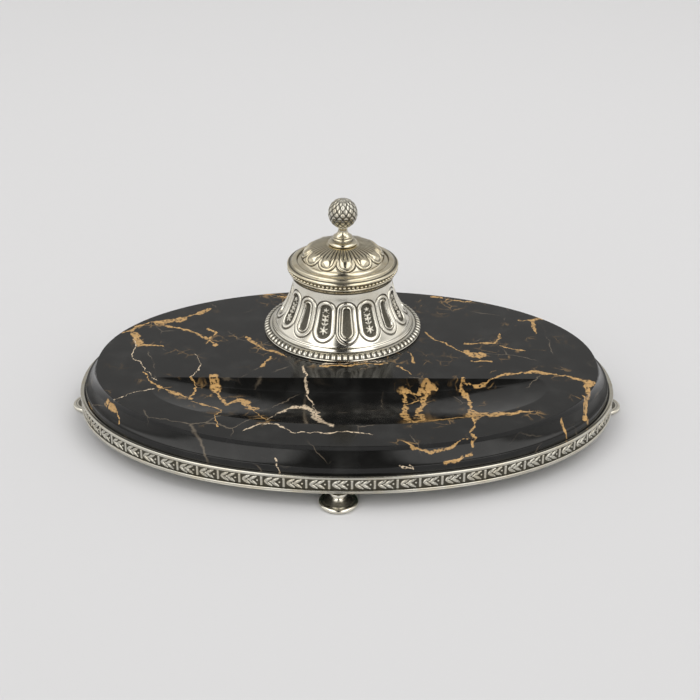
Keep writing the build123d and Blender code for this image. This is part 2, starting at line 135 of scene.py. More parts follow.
def make_piece(name, grids, material, body, replaces=(), labels=("shade_and_tarnish", "matted")):
    """Object from grids of (points, first, second, layout); each grid is rows up by columns anticlockwise.

    The two values are stored on the vertices under labels, for the material to read. points has the
    shape copies x rows x columns x 3, or without the copies. A face whose two low or two high corners
    meet in a pole becomes a triangle.
    """
    points, faces, first, second = [], [], [], []
    start = 0
    for grid, one, other, layout in grids:
        grid = grid if grid.ndim == 4 else grid[None]
        copies, rows, columns = grid.shape[:3]
        quads = grid_faces(rows, columns, **layout)
        shift = np.arange(copies)[:, None, None] * rows * columns + start
        faces.append((quads[None] + shift).reshape(-1, 4))
        points.append(grid.reshape(-1, 3) * MM)
        first.append(np.broadcast_to(one, grid.shape[:3]).reshape(-1))
        second.append(np.broadcast_to(other, grid.shape[:3]).reshape(-1))
        start += copies * rows * columns
    points, faces = np.concatenate(points), np.concatenate(faces)
    first, second = np.concatenate(first), np.concatenate(second)
    used, faces = np.unique(faces, return_inverse=True)
    faces = faces.reshape(-1, 4)
    keep = np.ones(faces.shape, bool)
    keep[:, 1] = faces[:, 0] != faces[:, 1]
    keep[:, 3] = faces[:, 2] != faces[:, 3]
    counts = keep.sum(1)
    corners = faces[keep]
    mesh = bpy.data.meshes.new(name)
    mesh.vertices.add(len(used))
    mesh.vertices.foreach_set("co", points[used].astype(np.float32).ravel())
    mesh.loops.add(len(corners))
    mesh.loops.foreach_set("vertex_index", corners.astype(np.int32))
    mesh.polygons.add(len(counts))
    mesh.polygons.foreach_set("loop_start", (np.cumsum(counts) - counts).astype(np.int32))
    mesh.polygons.foreach_set("use_smooth", np.ones(len(counts), bool))
    for label, values in zip(labels, (first, second)):
        layer = mesh.attributes.new(label, "FLOAT", "POINT")
        layer.data.foreach_set("value", values[used].astype(np.float32))
    mesh.update(calc_edges=True)
    mesh.validate()
    mesh.materials.append(material)
    piece = bpy.data.objects.new(name, mesh)
    bpy.context.scene.collection.objects.link(piece)
    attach(piece, body)
    if replaces:
        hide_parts(*replaces)
    return piece


RING = {"around": True, "closed_section": True, "low_pole": False, "high_pole": False}
CLOSED = {"around": True, "closed_section": False, "low_pole": True, "high_pole": True}


def rounded(corners, steps=4, closed=True):
    """Section through corners (across, height, rounding): a quadratic curve turns each corner.

    It starts and ends one rounding away from the corner, and a support point lies just outside each end.
    """
    section = []
    count = len(corners)
    for number, (across, height, size) in enumerate(corners):
        corner = np.array([across, height], float)
        if size == 0 or (not closed and number in (0, count - 1)):
            section.append(corner)
            continue
        before = np.array(corners[number - 1][:2], float) - corner
        after = np.array(corners[(number + 1) % count][:2], float) - corner
        enter = before / np.hypot(*before) * min(size, 0.45 * np.hypot(*before))
        leave = after / np.hypot(*after) * min(size, 0.45 * np.hypot(*after))
        section.append(corner + enter * 1.08)
        for t in np.linspace(0, 1, steps):
            section.append(corner + enter * (1 - t) ** 2 + leave * t ** 2)
        section.append(corner + leave * 1.08)
    return np.array(section)


def arc(centre, radii, start, end, count):
    """Points of an elliptical arc (across, height), angles in degrees from the outward direction."""
    angle = np.radians(np.linspace(start, end, count))
    return np.stack([centre[0] + radii[0] * np.cos(angle), centre[1] + radii[1] * np.sin(angle)], -1)


def refined(section, pitch):
    """Section resampled so that no step is longer than pitch; its own points stay."""
    points = [section[:1]]
    for low, high in zip(section[:-1], section[1:]):
        count = max(1, int(np.ceil(np.hypot(*(high - low)) / pitch)))
        points.append(low + (high - low) * np.linspace(0, 1, count + 1)[1:, None])
    return np.concatenate(points)


def section_normals(section):
    """Outward normals (across, height) of a section that runs up its outside."""
    slope = np.gradient(section, axis=0)
    size = np.maximum(np.hypot(slope[:, 0], slope[:, 1]), 1e-9)
    return np.stack([slope[:, 1], -slope[:, 0]], -1) / size[:, None]


def turned(section, columns, centre=WELL, raised=None):
    """Surface of revolution: section points go round the centre, pushed out by raised (rows x columns)."""
    angle = np.arange(columns) * TURN / columns
    across = np.repeat(section[:, :1], columns, 1)
    height = np.repeat(section[:, 1:], columns, 1)
    if raised is not None:
        normals = section_normals(section)
        across = across + normals[:, :1] * raised
        height = height + normals[:, 1:] * raised
    return np.stack([centre[0] + across * np.sin(angle), centre[1] - across * np.cos(angle), height], -1)


def oval_stations(count):
    """Points and outward normals on |x/a|^n + |y/b|^n = 1 at equal steps of its length, from the front."""
    turn = np.linspace(0, TURN, 20001) - TURN / 4
    across, along = np.cos(turn), np.sin(turn)
    x = HALF_LENGTH * np.sign(across) * np.abs(across) ** (2 / OVAL_POWER)
    y = HALF_DEPTH * np.sign(along) * np.abs(along) ** (2 / OVAL_POWER)
    length = np.concatenate([[0], np.cumsum(np.hypot(np.diff(x), np.diff(y)))])
    even = np.arange(count) * length[-1] / count
    x, y = np.interp(even, length, x), np.interp(even, length, y)
    nx = np.sign(x) * np.abs(x / HALF_LENGTH) ** (OVAL_POWER - 1) / HALF_LENGTH
    ny = np.sign(y) * np.abs(y / HALF_DEPTH) ** (OVAL_POWER - 1) / HALF_DEPTH
    size = np.hypot(nx, ny)
    return np.stack([x, y], -1), np.stack([nx / size, ny / size], -1), length[-1]


def oval_sweep(section, columns, raised=0):
    """Section of (minus inset, height) carried round the oval, pushed out by raised (rows x columns)."""
    places, normals, _ = oval_stations(columns)
    out = section[:, :1] + np.broadcast_to(raised, (len(section), columns))
    xy = places[None] + normals[None] * out[..., None]
    height = np.broadcast_to(section[:, 1, None], out.shape)
    return np.dstack([xy, height])


def balls(centres, radii, rows, columns):
    """Small spheroids: latitude rows from the lower pole to the upper, columns anticlockwise."""
    latitude = np.linspace(-np.pi / 2, np.pi / 2, rows)[:, None]
    angle = np.arange(columns)[None] * TURN / columns
    ring = np.cos(latitude)
    level = np.repeat(np.sin(latitude), columns, 1)
    shape = np.stack([ring * np.cos(angle), ring * np.sin(angle), level], -1)
    return np.asarray(centres)[:, None, None] + shape[None] * np.asarray(radii)


# ---------------------------------------------------------------- shader helpers
def add(tree, kind, inputs=None, **settings):
    """One node: settings go on the node, inputs are linked sockets or values."""
    node = tree.nodes.new(kind)
    for key, value in settings.items():
        setattr(node, key, value)
    for key, value in (inputs or {}).items():
        if isinstance(value, bpy.types.NodeSocket):
            tree.links.new(value, node.inputs[key])
        else:
            node.inputs[key].default_value = value
    return node


def calc(tree, operation, first, second=0.0, clamp=False):
    """Math node's output."""
    node = add(tree, "ShaderNodeMath", {0: first, 1: second}, operation=operation, use_clamp=clamp)
    return node.outputs[0]


def ramp(tree, value, low, high, to_low=0.0, to_high=1.0):
    """Smooth map of a value from low..high to to_low..to_high."""
    return add(tree, "ShaderNodeMapRange", {0: value, 1: low, 2: high, 3: to_low, 4: to_high},
               interpolation_type="SMOOTHSTEP").outputs[0]


def blend(tree, factor, first, second):
    """Colour mix."""
    node = add(tree, "ShaderNodeMix", data_type="RGBA")
    for socket, value in ((node.inputs[0], factor), (node.inputs[6], first), (node.inputs[7], second)):
        if isinstance(value, bpy.types.NodeSocket):
            tree.links.new(value, socket)
        else:
            socket.default_value = value
    return node.outputs[2]


def noise(tree, vector, scale, detail=3.0, kind="Fac"):
    """Noise texture on a vector in metres; scale is in cycles per metre."""
    node = add(tree, "ShaderNodeTexNoise", {"Vector": vector, "Scale": scale, "Detail": detail})
    return node.outputs[kind]


def rgba(colour, gain=1.0):
    """Colour property as four numbers."""
    return (colour[0] * gain, colour[1] * gain, colour[2] * gain, 1.0)


def new_group(name, inputs, outputs):
    """Empty node group with named sockets; returns it with its input and output nodes."""
    group = bpy.data.node_groups.new(name, "ShaderNodeTree")
    for label, kind, value in inputs:
        socket = group.interface.new_socket(label, in_out="INPUT", socket_type=kind)
        if value is not None:
            socket.default_value = value
    for label, kind in outputs:
        group.interface.new_socket(label, in_out="OUTPUT", socket_type=kind)
    return group, group.nodes.new("NodeGroupInput"), group.nodes.new("NodeGroupOutput")


def use(tree, group, inputs):
    """Places a node group in a material."""
    node = tree.nodes.new("ShaderNodeGroup")
    node.node_tree = group
    for key, value in inputs.items():
        if isinstance(value, bpy.types.NodeSocket):
            tree.links.new(value, node.inputs[key])
        else:
            node.inputs[key].default_value = value
    return node


def tarnished_and_shaded_metal_group():
    """Metal kept bright where it stands proud: colour, roughness and normal from the shade-and-tarnishing
    value and matting. That value is real tarnishing in the chased hollows, and on the wires, feet, collar,
    neck, lid rim, bead backing, stem and inner walls it is painted shade.
    """
    found = bpy.data.node_groups.get("tarnished_and_shaded_metal")
    if found:
        return found
    colour, number, vector = "NodeSocketColor", "NodeSocketFloat", "NodeSocketVector"
    group, enter, leave = new_group(
        "tarnished_and_shaded_metal",
        [("Metal", colour, (0.8, 0.8, 0.8, 1)), ("Tarnishing and shade colour", colour, (0.03, 0.03, 0.02, 1)),
         ("Shade and tarnishing", number, 0.0), ("Matting", number, 0.0), ("Polish", number, 0.14),
         ("Toning", number, 0.25)],
        [("Colour", colour), ("Roughness", number), ("Normal", vector)])
    place = add(group, "ShaderNodeTexCoord").outputs["Object"]
    patch = noise(group, place, 95.0, 4.0)
    fine = noise(group, place, 900.0, 3.0)
    spread = calc(group, "ADD", enter.outputs["Shade and tarnishing"],
                  calc(group, "MULTIPLY", calc(group, "SUBTRACT", fine, 0.5), 0.35))
    dark = ramp(group, spread, 0.12, 0.9)
    tone = calc(group, "MULTIPLY", ramp(group, patch, 0.42, 0.72), enter.outputs["Toning"])
    toned = blend(group, tone, enter.outputs["Metal"], (0.52, 0.42, 0.25, 1))
    finished = blend(group, calc(group, "MULTIPLY", dark, 0.93), toned, enter.outputs["Tarnishing and shade colour"])
    rough = calc(group, "ADD", enter.outputs["Polish"], ramp(group, patch, 0.35, 0.75, 0.0, 0.06))
    rough = calc(group, "ADD", rough, calc(group, "MULTIPLY", dark, 0.3))
    rough = calc(group, "ADD", rough, calc(group, "MULTIPLY", enter.outputs["Matting"], 0.2), True)
    grain = calc(group, "MULTIPLY", fine, calc(group, "ADD", 0.012, enter.outputs["Matting"]))
    bump = add(group, "ShaderNodeBump", {"Height": grain, "Strength": 0.6, "Distance": 0.0004})
    group.links.new(finished, leave.inputs["Colour"])
    group.links.new(rough, leave.inputs["Roughness"])
    group.links.new(bump.outputs[0], leave.inputs["Normal"])
    return group


def new_material(name, **plain):
    """Material with a Principled shader; plain values go straight on the shader's own sockets."""
    material = bpy.data.materials.new(name)
    material.use_nodes = True
    shader = material.node_tree.nodes["Principled BSDF"]
    for key, value in plain.items():
        shader.inputs[key.replace("_", " ")].default_value = value
    return material, material.node_tree, shader


def metal(name, colour, polish, toning):
    """Silver-family metal darkened by its shade-and-tarnishing value (real tarnishing in hollows, painted
    shade on some parts) and with a light toning; the metallic value is plain.
    """
    found = bpy.data.materials.get(name)
    if found:
        return found
    finish = bpy.context.scene.inkwell_finish
    material, tree, shader = new_material(name, Metallic=1.0)
    shade_and_tarnish = add(tree, "ShaderNodeAttribute", attribute_name="shade_and_tarnish").outputs["Fac"]
    matted = add(tree, "ShaderNodeAttribute", attribute_name="matted").outputs["Fac"]
    skin = use(tree, tarnished_and_shaded_metal_group(), {
        "Metal": rgba(colour), "Tarnishing and shade colour": rgba(finish.tarnish_and_shade_colour), "Shade and tarnishing": shade_and_tarnish, "Matting": matted,
        "Polish": polish, "Toning": toning})
    tree.links.new(skin.outputs["Colour"], shader.inputs["Base Color"])
    tree.links.new(skin.outputs["Roughness"], shader.inputs["Roughness"])
    tree.links.new(skin.outputs["Normal"], shader.inputs["Normal"])
    return material


def silver():
    """Polished silver of the well and the stand."""
    return metal("polished_silver", bpy.context.scene.inkwell_finish.silver, 0.13, 0.22)


def rubbed_silver():
    """Greyer silver of the rim, left more tarnished."""
    return metal("rubbed_silver", (0.60, 0.58, 0.51), 0.17, 0.3)


def warm_silver():
    """Slightly gilded silver of the lid, collar and finial."""
    return metal("gilded_silver", bpy.context.scene.inkwell_finish.gilt, 0.16, 0.45)


def steel():
    """Dull fixings under the stand."""
    return metal("dull_steel", (0.42, 0.41, 0.39), 0.32, 0.3)


# Each vein is a route of (x, y) points with a half-width at its start and end, laid out over the top.
GOLD_VEINS = [
    ([(-150, 37), (-133, 54), (-122, 53), (-96, 73)], 1.6, 2.0),
    ([(-128, 54), (-112, 60)], 4.0, 4.6),
    ([(-142, 36), (-135, 20), (-120, 17)], 3.0, 2.0),
    ([(-122, 50), (-101, 38), (-86, 20)], 1.0, 1.2),
    ([(-94, 44), (-86, 38), (-93, 22)], 1.0, 0.8),
    ([(-150, -48), (-143, -59)], 2.6, 2.2),
    ([(-143, -59), (-144, -70)], 1.4, 0.8),
    ([(-127, -18), (-118, -34), (-108, -40), (-96, -47)], 0.8, 2.4),
    ([(-97, -24), (-97, -44)], 0.7, 1.6),
    ([(-96, -50), (-86, -55), (-77, -62)], 0.7, 0.8),
    ([(-85, -23), (-81, -40), (-74, -51)], 3.6, 2.0),
    ([(-74, -51), (-68, -43), (-58, -54)], 2.6, 3.4),
    ([(-58, -54), (-49, -74)], 1.0, 0.5),
    ([(-77, -62), (-76, -84)], 0.7, 0.5),
    ([(-67, 32), (-53, 14), (-40, 4)], 1.8, 1.2),
    ([(-54, -8), (-49, 3)], 1.6, 1.0),
    ([(-17, -8), (25, -5)], 1.0, 0.8),
    ([(38, -27), (37, -45), (36, -63), (38, -76)], 1.8, 2.4),
    ([(37, -77), (46, -72), (43, -58), (49, -44), (52, -28)], 3.4, 1.4),
    ([(38, -28), (46, -32), (50, -25), (57, -28)], 3.2, 2.0),
    ([(37, -46), (46, -40)], 1.0, 1.0),
    ([(45, -76), (60, -72)], 0.8, 1.0),
    ([(73, -24), (77, -44), (77, -66)], 1.0, 4.0),
    ([(56, -74), (77, -67)], 0.5, 4.6),
    ([(77, -67), (90, -66), (113, -65)], 3.4, 0.3),
    ([(76, -68), (73, -92), (74, -100)], 1.6, 0.7),
    ([(73, -26), (83, -28), (96, -18), (119, -14)], 0.9, 2.0),
    ([(119, -14), (136, -19), (150, -27)], 1.6, 0.9),
    ([(150, -27), (148, -46), (152, -60)], 3.0, 1.4),
    ([(144, -47), (155, -62)], 0.8, 0.7),
    ([(52, 40), (64, 22), (85, 4)], 1.0, 1.4),
    ([(78, 12), (88, 6)], 3.4, 3.6),
    ([(80, 0), (92, -2)], 2.0, 1.4),
    ([(77, 23), (97, 25), (102, 39)], 0.8, 0.9),
    ([(100, 22), (115, 15)], 0.8, 1.4),
    ([(33, -9), (40, -18)], 0.9, 0.7),
    ([(117, 59), (136, 62)], 2.2, 1.6),
    ([(127, 60), (124, 40)], 1.2, 0.7),
    ([(40, 12), (42, -2)], 0.8, 0.6),
    ([(33, -99), (38, -103), (50, -105), (61, -101), (69, -96)], 0.5, 0.9),
    ([(60, -113), (67, -111), (75, -106)], 2.0, 2.4),
    ([(131, -68), (141, -79)], 0.8, 1.8),
    ([(-173, -37), (-170, -44)], 1.2, 1.0),
    ([(60, 96), (84, 88), (98, 92)], 1.4, 0.9),
    ([(-60, 100), (-38, 92)], 1.0, 1.6),
    ([(20, 104), (14, 92), (-8, 106)], 1.2, 0.8),
]
PALE_VEINS = [
    ([(-143, -51), (-128, -44), (-120, -38)], 0.35, 0.3),
    ([(-60, -88), (-51, -80), (-40, -81), (-33, -90), (-11, -91), (0, -88), (16, -92)], 0.55, 0.5),
    ([(-41, -60), (-35, -51), (-28, -48)], 0.7, 3.4),
    ([(-28, -48), (-22, -54), (-17, -66), (-11, -81)], 3.8, 2.2),
    ([(-27, -8), (-25, -30), (-20, -54)], 0.9, 0.5),
    ([(-140, 30), (-136, 0), (-118, -28)], 0.3, 0.4),
    ([(-97, 8), (-92, -8), (-97, -24)], 0.4, 0.4),
    ([(32, -116), (40, -118), (37, -115)], 0.7, 0.5),
    ([(-16, -5), (24, -2)], 0.4, 0.4),
    ([(-42, -110), (-41, -120)], 0.7, 0.5),
    ([(-49, -74), (-41, -59)], 0.3, 0.4),
]


# The stone is finished in stretches of x, because one material holds only so many strokes.
MARBLE_ZONES = (-92.0, -50.0, 34.0, 62.0, 98.0)
EDGE_SPREAD = 0.006


def vein_stroke_group():
    """Distance from the line Start to End over its half-width there, or Others where that is less."""
    vector, number = "NodeSocketVector", "NodeSocketFloat"
    found = bpy.data.node_groups.get("vein_stroke")
    if found:
        return found
    group, enter, leave = new_group(
        "vein_stroke",
        [("Place", vector, None), ("Start", vector, None), ("End", vector, None),
         ("Start width", number, 1.0), ("End width", number, 1.0), ("Others", number, 50.0)],
        [("Share", number)])
    start, end = enter.outputs["Start"], enter.outputs["End"]

    def vectors(operation, first, second, output=0):
        return add(group, "ShaderNodeVectorMath", {0: first, 1: second}, operation=operation).outputs[output]

    reach = vectors("SUBTRACT", enter.outputs["Place"], start)
    run = vectors("SUBTRACT", end, start)
    along = calc(group, "DIVIDE", vectors("DOT_PRODUCT", reach, run, "Value"),
                 vectors("DOT_PRODUCT", run, run, "Value"), True)
    nearest = add(group, "ShaderNodeVectorMath", {0: run, 3: along}, operation="SCALE").outputs[0]
    distance = vectors("DISTANCE", reach, nearest, "Value")
    width = add(group, "ShaderNodeMix", {0: along, 2: enter.outputs["Start width"],
                                         3: enter.outputs["End width"]}, data_type="FLOAT").outputs[0]
    share = calc(group, "MINIMUM", calc(group, "DIVIDE", distance, width), enter.outputs["Others"])
    group.links.new(share, leave.inputs["Share"])
    return group


def strokes_within(veins, low, high):
    """Strokes (start, end, start half-width, end half-width) of the routes that reach low..high in x."""
    strokes = []
    margin = 9.0
    for route, first, last in veins:
        widths = np.linspace(first, last, len(route))
        for number in range(len(route) - 1):
            start, end = route[number], route[number + 1]
            if max(start[0], end[0]) > low - margin and min(start[0], end[0]) < high + margin:
                strokes.append((start, end, float(widths[number]), float(widths[number + 1])))
    return strokes


def vein_mask(tree, stroke, strokes, place, swell):
    """1 inside the nearest of a list of strokes; swell thickens and thins them along their way."""
    least = 50.0
    for start, end, first, last in strokes:
        least = use(tree, stroke, {"Place": place, "Start": (*start, 0), "End": (*end, 0),
                                   "Start width": first, "End width": last, "Others": least}).outputs[0]
    return ramp(tree, calc(tree, "DIVIDE", least, swell), 0.75, 1.3, 1.0, 0.0)


def marble(name, low, high):
    """Black stone over one stretch of x: placed gold and pale veins with ragged edges, and a deep polish.

    Fine crackle runs beside the veins on the level faces. Below the top the vein routes are read further
    out, by EDGE_SPREAD for each millimetre down, so that they run on over the moulded edge.
    """
    finish = bpy.context.scene.inkwell_finish
    material, tree, shader = new_material(name, IOR=1.39)
    place = add(tree, "ShaderNodeTexCoord").outputs["Object"]
    millimetres = add(tree, "ShaderNodeVectorMath", {0: place, 3: 1000.0}, operation="SCALE").outputs[0]
    height = add(tree, "ShaderNodeSeparateXYZ", {0: millimetres}).outputs[2]
    fall = calc(tree, "SUBTRACT", MARBLE_TOP, height)
    stretch = calc(tree, "ADD", 1.0, calc(tree, "MULTIPLY", fall, EDGE_SPREAD))
    factors = add(tree, "ShaderNodeCombineXYZ", {0: stretch, 1: stretch}).outputs[0]
    flat = add(tree, "ShaderNodeVectorMath", {0: millimetres, 1: factors}, operation="MULTIPLY").outputs[0]

    def wander(scale, reach, detail):
        field = noise(tree, place, scale, detail, "Color")
        shift = add(tree, "ShaderNodeVectorMath", {0: field, 1: (0.5, 0.5, 0.5)}, operation="SUBTRACT")
        return add(tree, "ShaderNodeVectorMath", {0: shift.outputs[0], 1: (reach, reach, 0)},
                   operation="MULTIPLY").outputs[0]

    warped = add(tree, "ShaderNodeVectorMath", {0: flat, 1: wander(60.0, 8.0, 2.0)}).outputs[0]
    warped = add(tree, "ShaderNodeVectorMath", {0: warped, 1: wander(300.0, 3.4, 4.0)}).outputs[0]
    stroke = vein_stroke_group()
    swell = ramp(tree, noise(tree, place, 110.0, 2.0), 0.36, 0.68, 0.28, 1.25)
    gold = vein_mask(tree, stroke, strokes_within(GOLD_VEINS, low, high), warped, swell)
    pale = vein_mask(tree, stroke, strokes_within(PALE_VEINS, low, high), warped, swell)
    near_vein = add(tree, "ShaderNodeAttribute", attribute_name="near_vein").outputs["Fac"]
    cells = add(tree, "ShaderNodeTexVoronoi", {
        "Vector": add(tree, "ShaderNodeVectorMath", {0: warped, 3: 0.001}, operation="SCALE").outputs[0],
        "Scale": 125.0}, feature="DISTANCE_TO_EDGE").outputs["Distance"]
    crackle = ramp(tree, cells, 0.0, 0.085, 1.0, 0.0)
    crackle = calc(tree, "MULTIPLY", crackle, ramp(tree, noise(tree, place, 70.0, 2.0), 0.5, 0.66))
    crackle = calc(tree, "MULTIPLY", crackle, calc(tree, "MULTIPLY", near_vein, 0.6))
    level_face = add(tree, "ShaderNodeAttribute", attribute_name="level_face").outputs["Fac"]
    crackle = calc(tree, "MULTIPLY", crackle, level_face)
    wide_cells = add(tree, "ShaderNodeTexVoronoi", {
        "Vector": add(tree, "ShaderNodeVectorMath", {0: warped, 3: 0.001}, operation="SCALE").outputs[0],
        "Scale": 24.0}, feature="DISTANCE_TO_EDGE").outputs["Distance"]
    hair = calc(tree, "MULTIPLY", ramp(tree, wide_cells, 0.0, 0.014, 1.0, 0.0),
                ramp(tree, noise(tree, place, 40.0, 2.0), 0.5, 0.66, 0.0, 0.3))
    bite = ramp(tree, noise(tree, place, 520.0, 4.0), 0.34, 0.5)
    gold = calc(tree, "MULTIPLY", gold, bite)
    pale = calc(tree, "MULTIPLY", pale, ramp(tree, noise(tree, place, 700.0, 3.0), 0.36, 0.5))
    cloud = noise(tree, place, 60.0, 5.0)
    ground = blend(tree, ramp(tree, cloud, 0.45, 0.8), rgba(finish.stone), rgba(finish.stone, 2.4))
    tint = blend(tree, noise(tree, place, 260.0, 4.0), rgba(finish.gold_vein, 0.62),
                 rgba(finish.gold_vein, 1.35))
    colour = blend(tree, crackle, ground, rgba(finish.gold_vein, 0.8))
    colour = blend(tree, hair, colour, rgba(finish.pale_vein, 0.6))
    colour = blend(tree, gold, colour, tint)
    colour = blend(tree, pale, colour, rgba(finish.pale_vein))
    tree.links.new(colour, shader.inputs["Base Color"])
    rough = ramp(tree, noise(tree, place, 150.0, 5.0), 0.3, 0.8, 0.1, 0.2)
    tree.links.new(rough, shader.inputs["Roughness"])
    wear = noise(tree, place, 45.0, 6.0)
    bump = add(tree, "ShaderNodeBump", {"Height": wear, "Strength": 0.05, "Distance": 0.001})
    tree.links.new(bump.outputs[0], shader.inputs["Normal"])
    return material


def felt():
    """Green wool felt: mottled colour and a fibrous bump."""
    finish = bpy.context.scene.inkwell_finish
    material, tree, shader = new_material("wool_felt", Roughness=0.95, Sheen_Weight=0.3)
    place = add(tree, "ShaderNodeTexCoord").outputs["Object"]
    fibres = noise(tree, place, 1400.0, 5.0)
    colour = blend(tree, fibres, rgba(finish.felt, 0.6), rgba(finish.felt, 1.5))
    tree.links.new(colour, shader.inputs["Base Color"])
    bump = add(tree, "ShaderNodeBump", {"Height": fibres, "Strength": 0.6, "Distance": 0.0005})
    tree.links.new(bump.outputs[0], shader.inputs["Normal"])
    return material


def glass():
    """Clear pressed glass with a faint ripple and a dried ink film low inside."""
    material, tree, shader = new_material("liner_glass", Transmission_Weight=1.0, IOR=1.5, Metallic=0.0)
    place = add(tree, "ShaderNodeTexCoord").outputs["Object"]
    height = add(tree, "ShaderNodeSeparateXYZ", {0: place}).outputs[2]
    film = calc(tree, "MULTIPLY", ramp(tree, height, 0.045, 0.056, 1.0, 0.0), noise(tree, place, 120.0, 4.0))
    clear, ink = (0.93, 0.96, 0.95, 1), (0.1, 0.12, 0.3, 1)
    tree.links.new(blend(tree, film, clear, ink), shader.inputs["Base Color"])
    tree.links.new(ramp(tree, noise(tree, place, 60.0), 0.3, 0.8, 0.02, 0.08), shader.inputs["Roughness"])
    ripple = noise(tree, place, 80.0)
    bump = add(tree, "ShaderNodeBump", {"Height": ripple, "Strength": 0.1, "Distance": 0.001})
    tree.links.new(bump.outputs[0], shader.inputs["Normal"])
    return material


# ---------------------------------------------------------------- marble stand
TRAY = {"x": 1.0, "y": -34.0, "wall": -24.0, "half_length": 122.0, "half_width": 47.0, "depth": 9.0}


def scoop_depth(x, y):
    """Depth of the pen tray below the top: a spheroid about a line along X, coved into its back wall."""
    spin = (TRAY["half_width"] ** 2 + TRAY["depth"] ** 2) / (2 * TRAY["depth"])
    rise = spin - TRAY["depth"]
    reach = TRAY["half_length"] / np.sqrt(1 - (rise / spin) ** 2)
    radius = spin * np.sqrt(np.clip(1 - ((x - TRAY["x"]) / reach) ** 2, 0, 1))
    bowl = np.sqrt(np.clip(radius ** 2 - (y - TRAY["y"]) ** 2, 0, None)) - rise
    cove = 1 - (1 - np.clip((TRAY["wall"] - y) / 4.5, 0, 1)) ** 3
    return np.where(y < TRAY["wall"], np.minimum(bowl, bowl * cove), -1.0)


def slab_grid(columns):
    """Slab surface: underside, moulded edge, top ring out to the oval, then the tray down to one point.

    The edge is a near-upright fascia, a small step and a hollow that follows a quarter ellipse blended
    with a straight line. The top ring runs along straight lines from the edge to the tray's outline.
    """
    sweep = np.linspace(0.06, np.pi / 2, 22)
    hollow = np.stack([4.8 + 6 * np.sin(sweep), MARBLE_TOP - 10 * np.cos(sweep)], -1)
    chord = (hollow[:, :1] - 4.8) / 6
    hollow[:, 1] += 0.34 * (MARBLE_TOP - 10 + 10 * chord[:, 0] - hollow[:, 1])
    hollow = hollow[:-1]
    under = SLAB_LOW.z / MM
    lower = rounded([(40, under, 0), (1.3, under, 0.2), (1.3, RIM_TOP - 0.8, 0.1), (3.0, RIM_TOP - 0.8, 0.1),
                     (3.8, 24.3, 0.35), (4.8, 24.3, 0.3), (5.4, 24.7, 0)], closed=False)
    arris = rounded([(*hollow[-1], 0), (10.8, MARBLE_TOP, 0.35), (14, MARBLE_TOP, 0)], closed=False)
    section = np.concatenate([lower[:-1], hollow, arris[1:]])
    section[:, 0] *= -1
    side = oval_sweep(section, columns)
    edge = side[-1]
    heart = np.array([TRAY["x"], -40.0])
    aim = edge[:, :2] - heart
    near, far = np.zeros(columns), np.ones(columns)
    for _ in range(40):
        middle = (near + far) / 2
        inside = scoop_depth(heart[0] + aim[:, 0] * middle, heart[1] + aim[:, 1] * middle) > 0
        near, far = np.where(inside, middle, near), np.where(inside, far, middle)
    outward = np.array([0.0, 0.3, 0.6, 0.85, 0.95, 0.985, 0.996])[1:, None]
    share = 1 - (1 - near) * outward
    top = heart + aim[None] * share[..., None]
    top = np.dstack([top, np.full(share.shape, MARBLE_TOP)])
    inward = 1 - np.linspace(0, 1, 46)[:, None] ** 1.5
    share = near * inward
    bowl = heart + aim[None] * share[..., None]
    depth = np.clip(scoop_depth(bowl[..., 0], bowl[..., 1]), 0, None)
    bowl = np.dstack([bowl, MARBLE_TOP - depth])
    pole = np.broadcast_to([0.0, 0.0, under], (1, columns, 3))
    return np.concatenate([pole, side, top, bowl])


def vein_nearness(grid):
    """1 beside a vein, falling to 0 by 11 mm from the nearest point of the nearest stroke."""
    least = np.full(grid.shape[:2], 1e3)
    for start, end, _, _ in strokes_within(GOLD_VEINS, -400, 400):
        start, run = np.array(start, float), np.array(end, float) - np.array(start, float)
        along = np.clip(((grid[..., :2] - start) @ run) / (run @ run), 0, 1)
        gap = grid[..., :2] - start - along[..., None] * run
        least = np.minimum(least, np.hypot(gap[..., 0], gap[..., 1]))
    return smooth(11.0, 2.0, least)


class INKWELL_OT_marble(bpy.types.Operator):
    """Build the veined marble slab with its moulded edge and pen tray"""
    bl_idname = "inkwell.marble"
    bl_label = "Marble slab"

    def execute(self, context):
        grid = slab_grid(720)
        on_top = grid[..., 2] > MARBLE_TOP - 0.2
        in_tray = (np.abs(grid[..., 0]) < 125) & (np.abs(grid[..., 1] + 50) < 36)
        level_face = (on_top | in_tray).astype(float)
        bounds = [-400.0, *MARBLE_ZONES, 400.0]
        zones = [marble(f"veined_marble_{number}", low, high)
                 for number, (low, high) in enumerate(zip(bounds[:-1], bounds[1:]), 1)]
        piece = make_piece("marble_stand", [(grid, level_face, vein_nearness(grid), CLOSED)], zones[0],
                           "stand", ["marble_slab"], ("level_face", "near_vein"))
        for material in zones[1:]:
            piece.data.materials.append(material)
        centres = np.zeros(len(piece.data.polygons) * 3, np.float32)
        piece.data.polygons.foreach_get("center", centres)
        numbers = np.searchsorted(np.array(MARBLE_ZONES) * MM, centres[::3])
        piece.data.polygons.foreach_set("material_index", numbers.astype(np.int32))
        return {"FINISHED"}


# ---------------------------------------------------------------- silver rim
def leaf(along, across, start, lean):
    """Raised height of one laurel leaf: a pointed, creased blade from its stem point, leaning by lean."""
    length = 5.6
    run = (along - start) * np.cos(lean) + across * np.sin(lean)
    side = across * np.cos(lean) - (along - start) * np.sin(lean)
    share = np.clip(run / length, 0, 1)
    half = 0.15 + 0.82 * np.sin(np.pi * share ** 0.8)
    inside = np.where((run > 0) & (run < length), 1 - (side / half) ** 2, 0)
    crease = np.exp(-(side / 0.17) ** 2) * smooth(0.3, 1.4, run) * smooth(length, length - 1.4, run)
    return np.sqrt(np.clip(inside, 0, 1)) * (1 - 0.6 * crease)


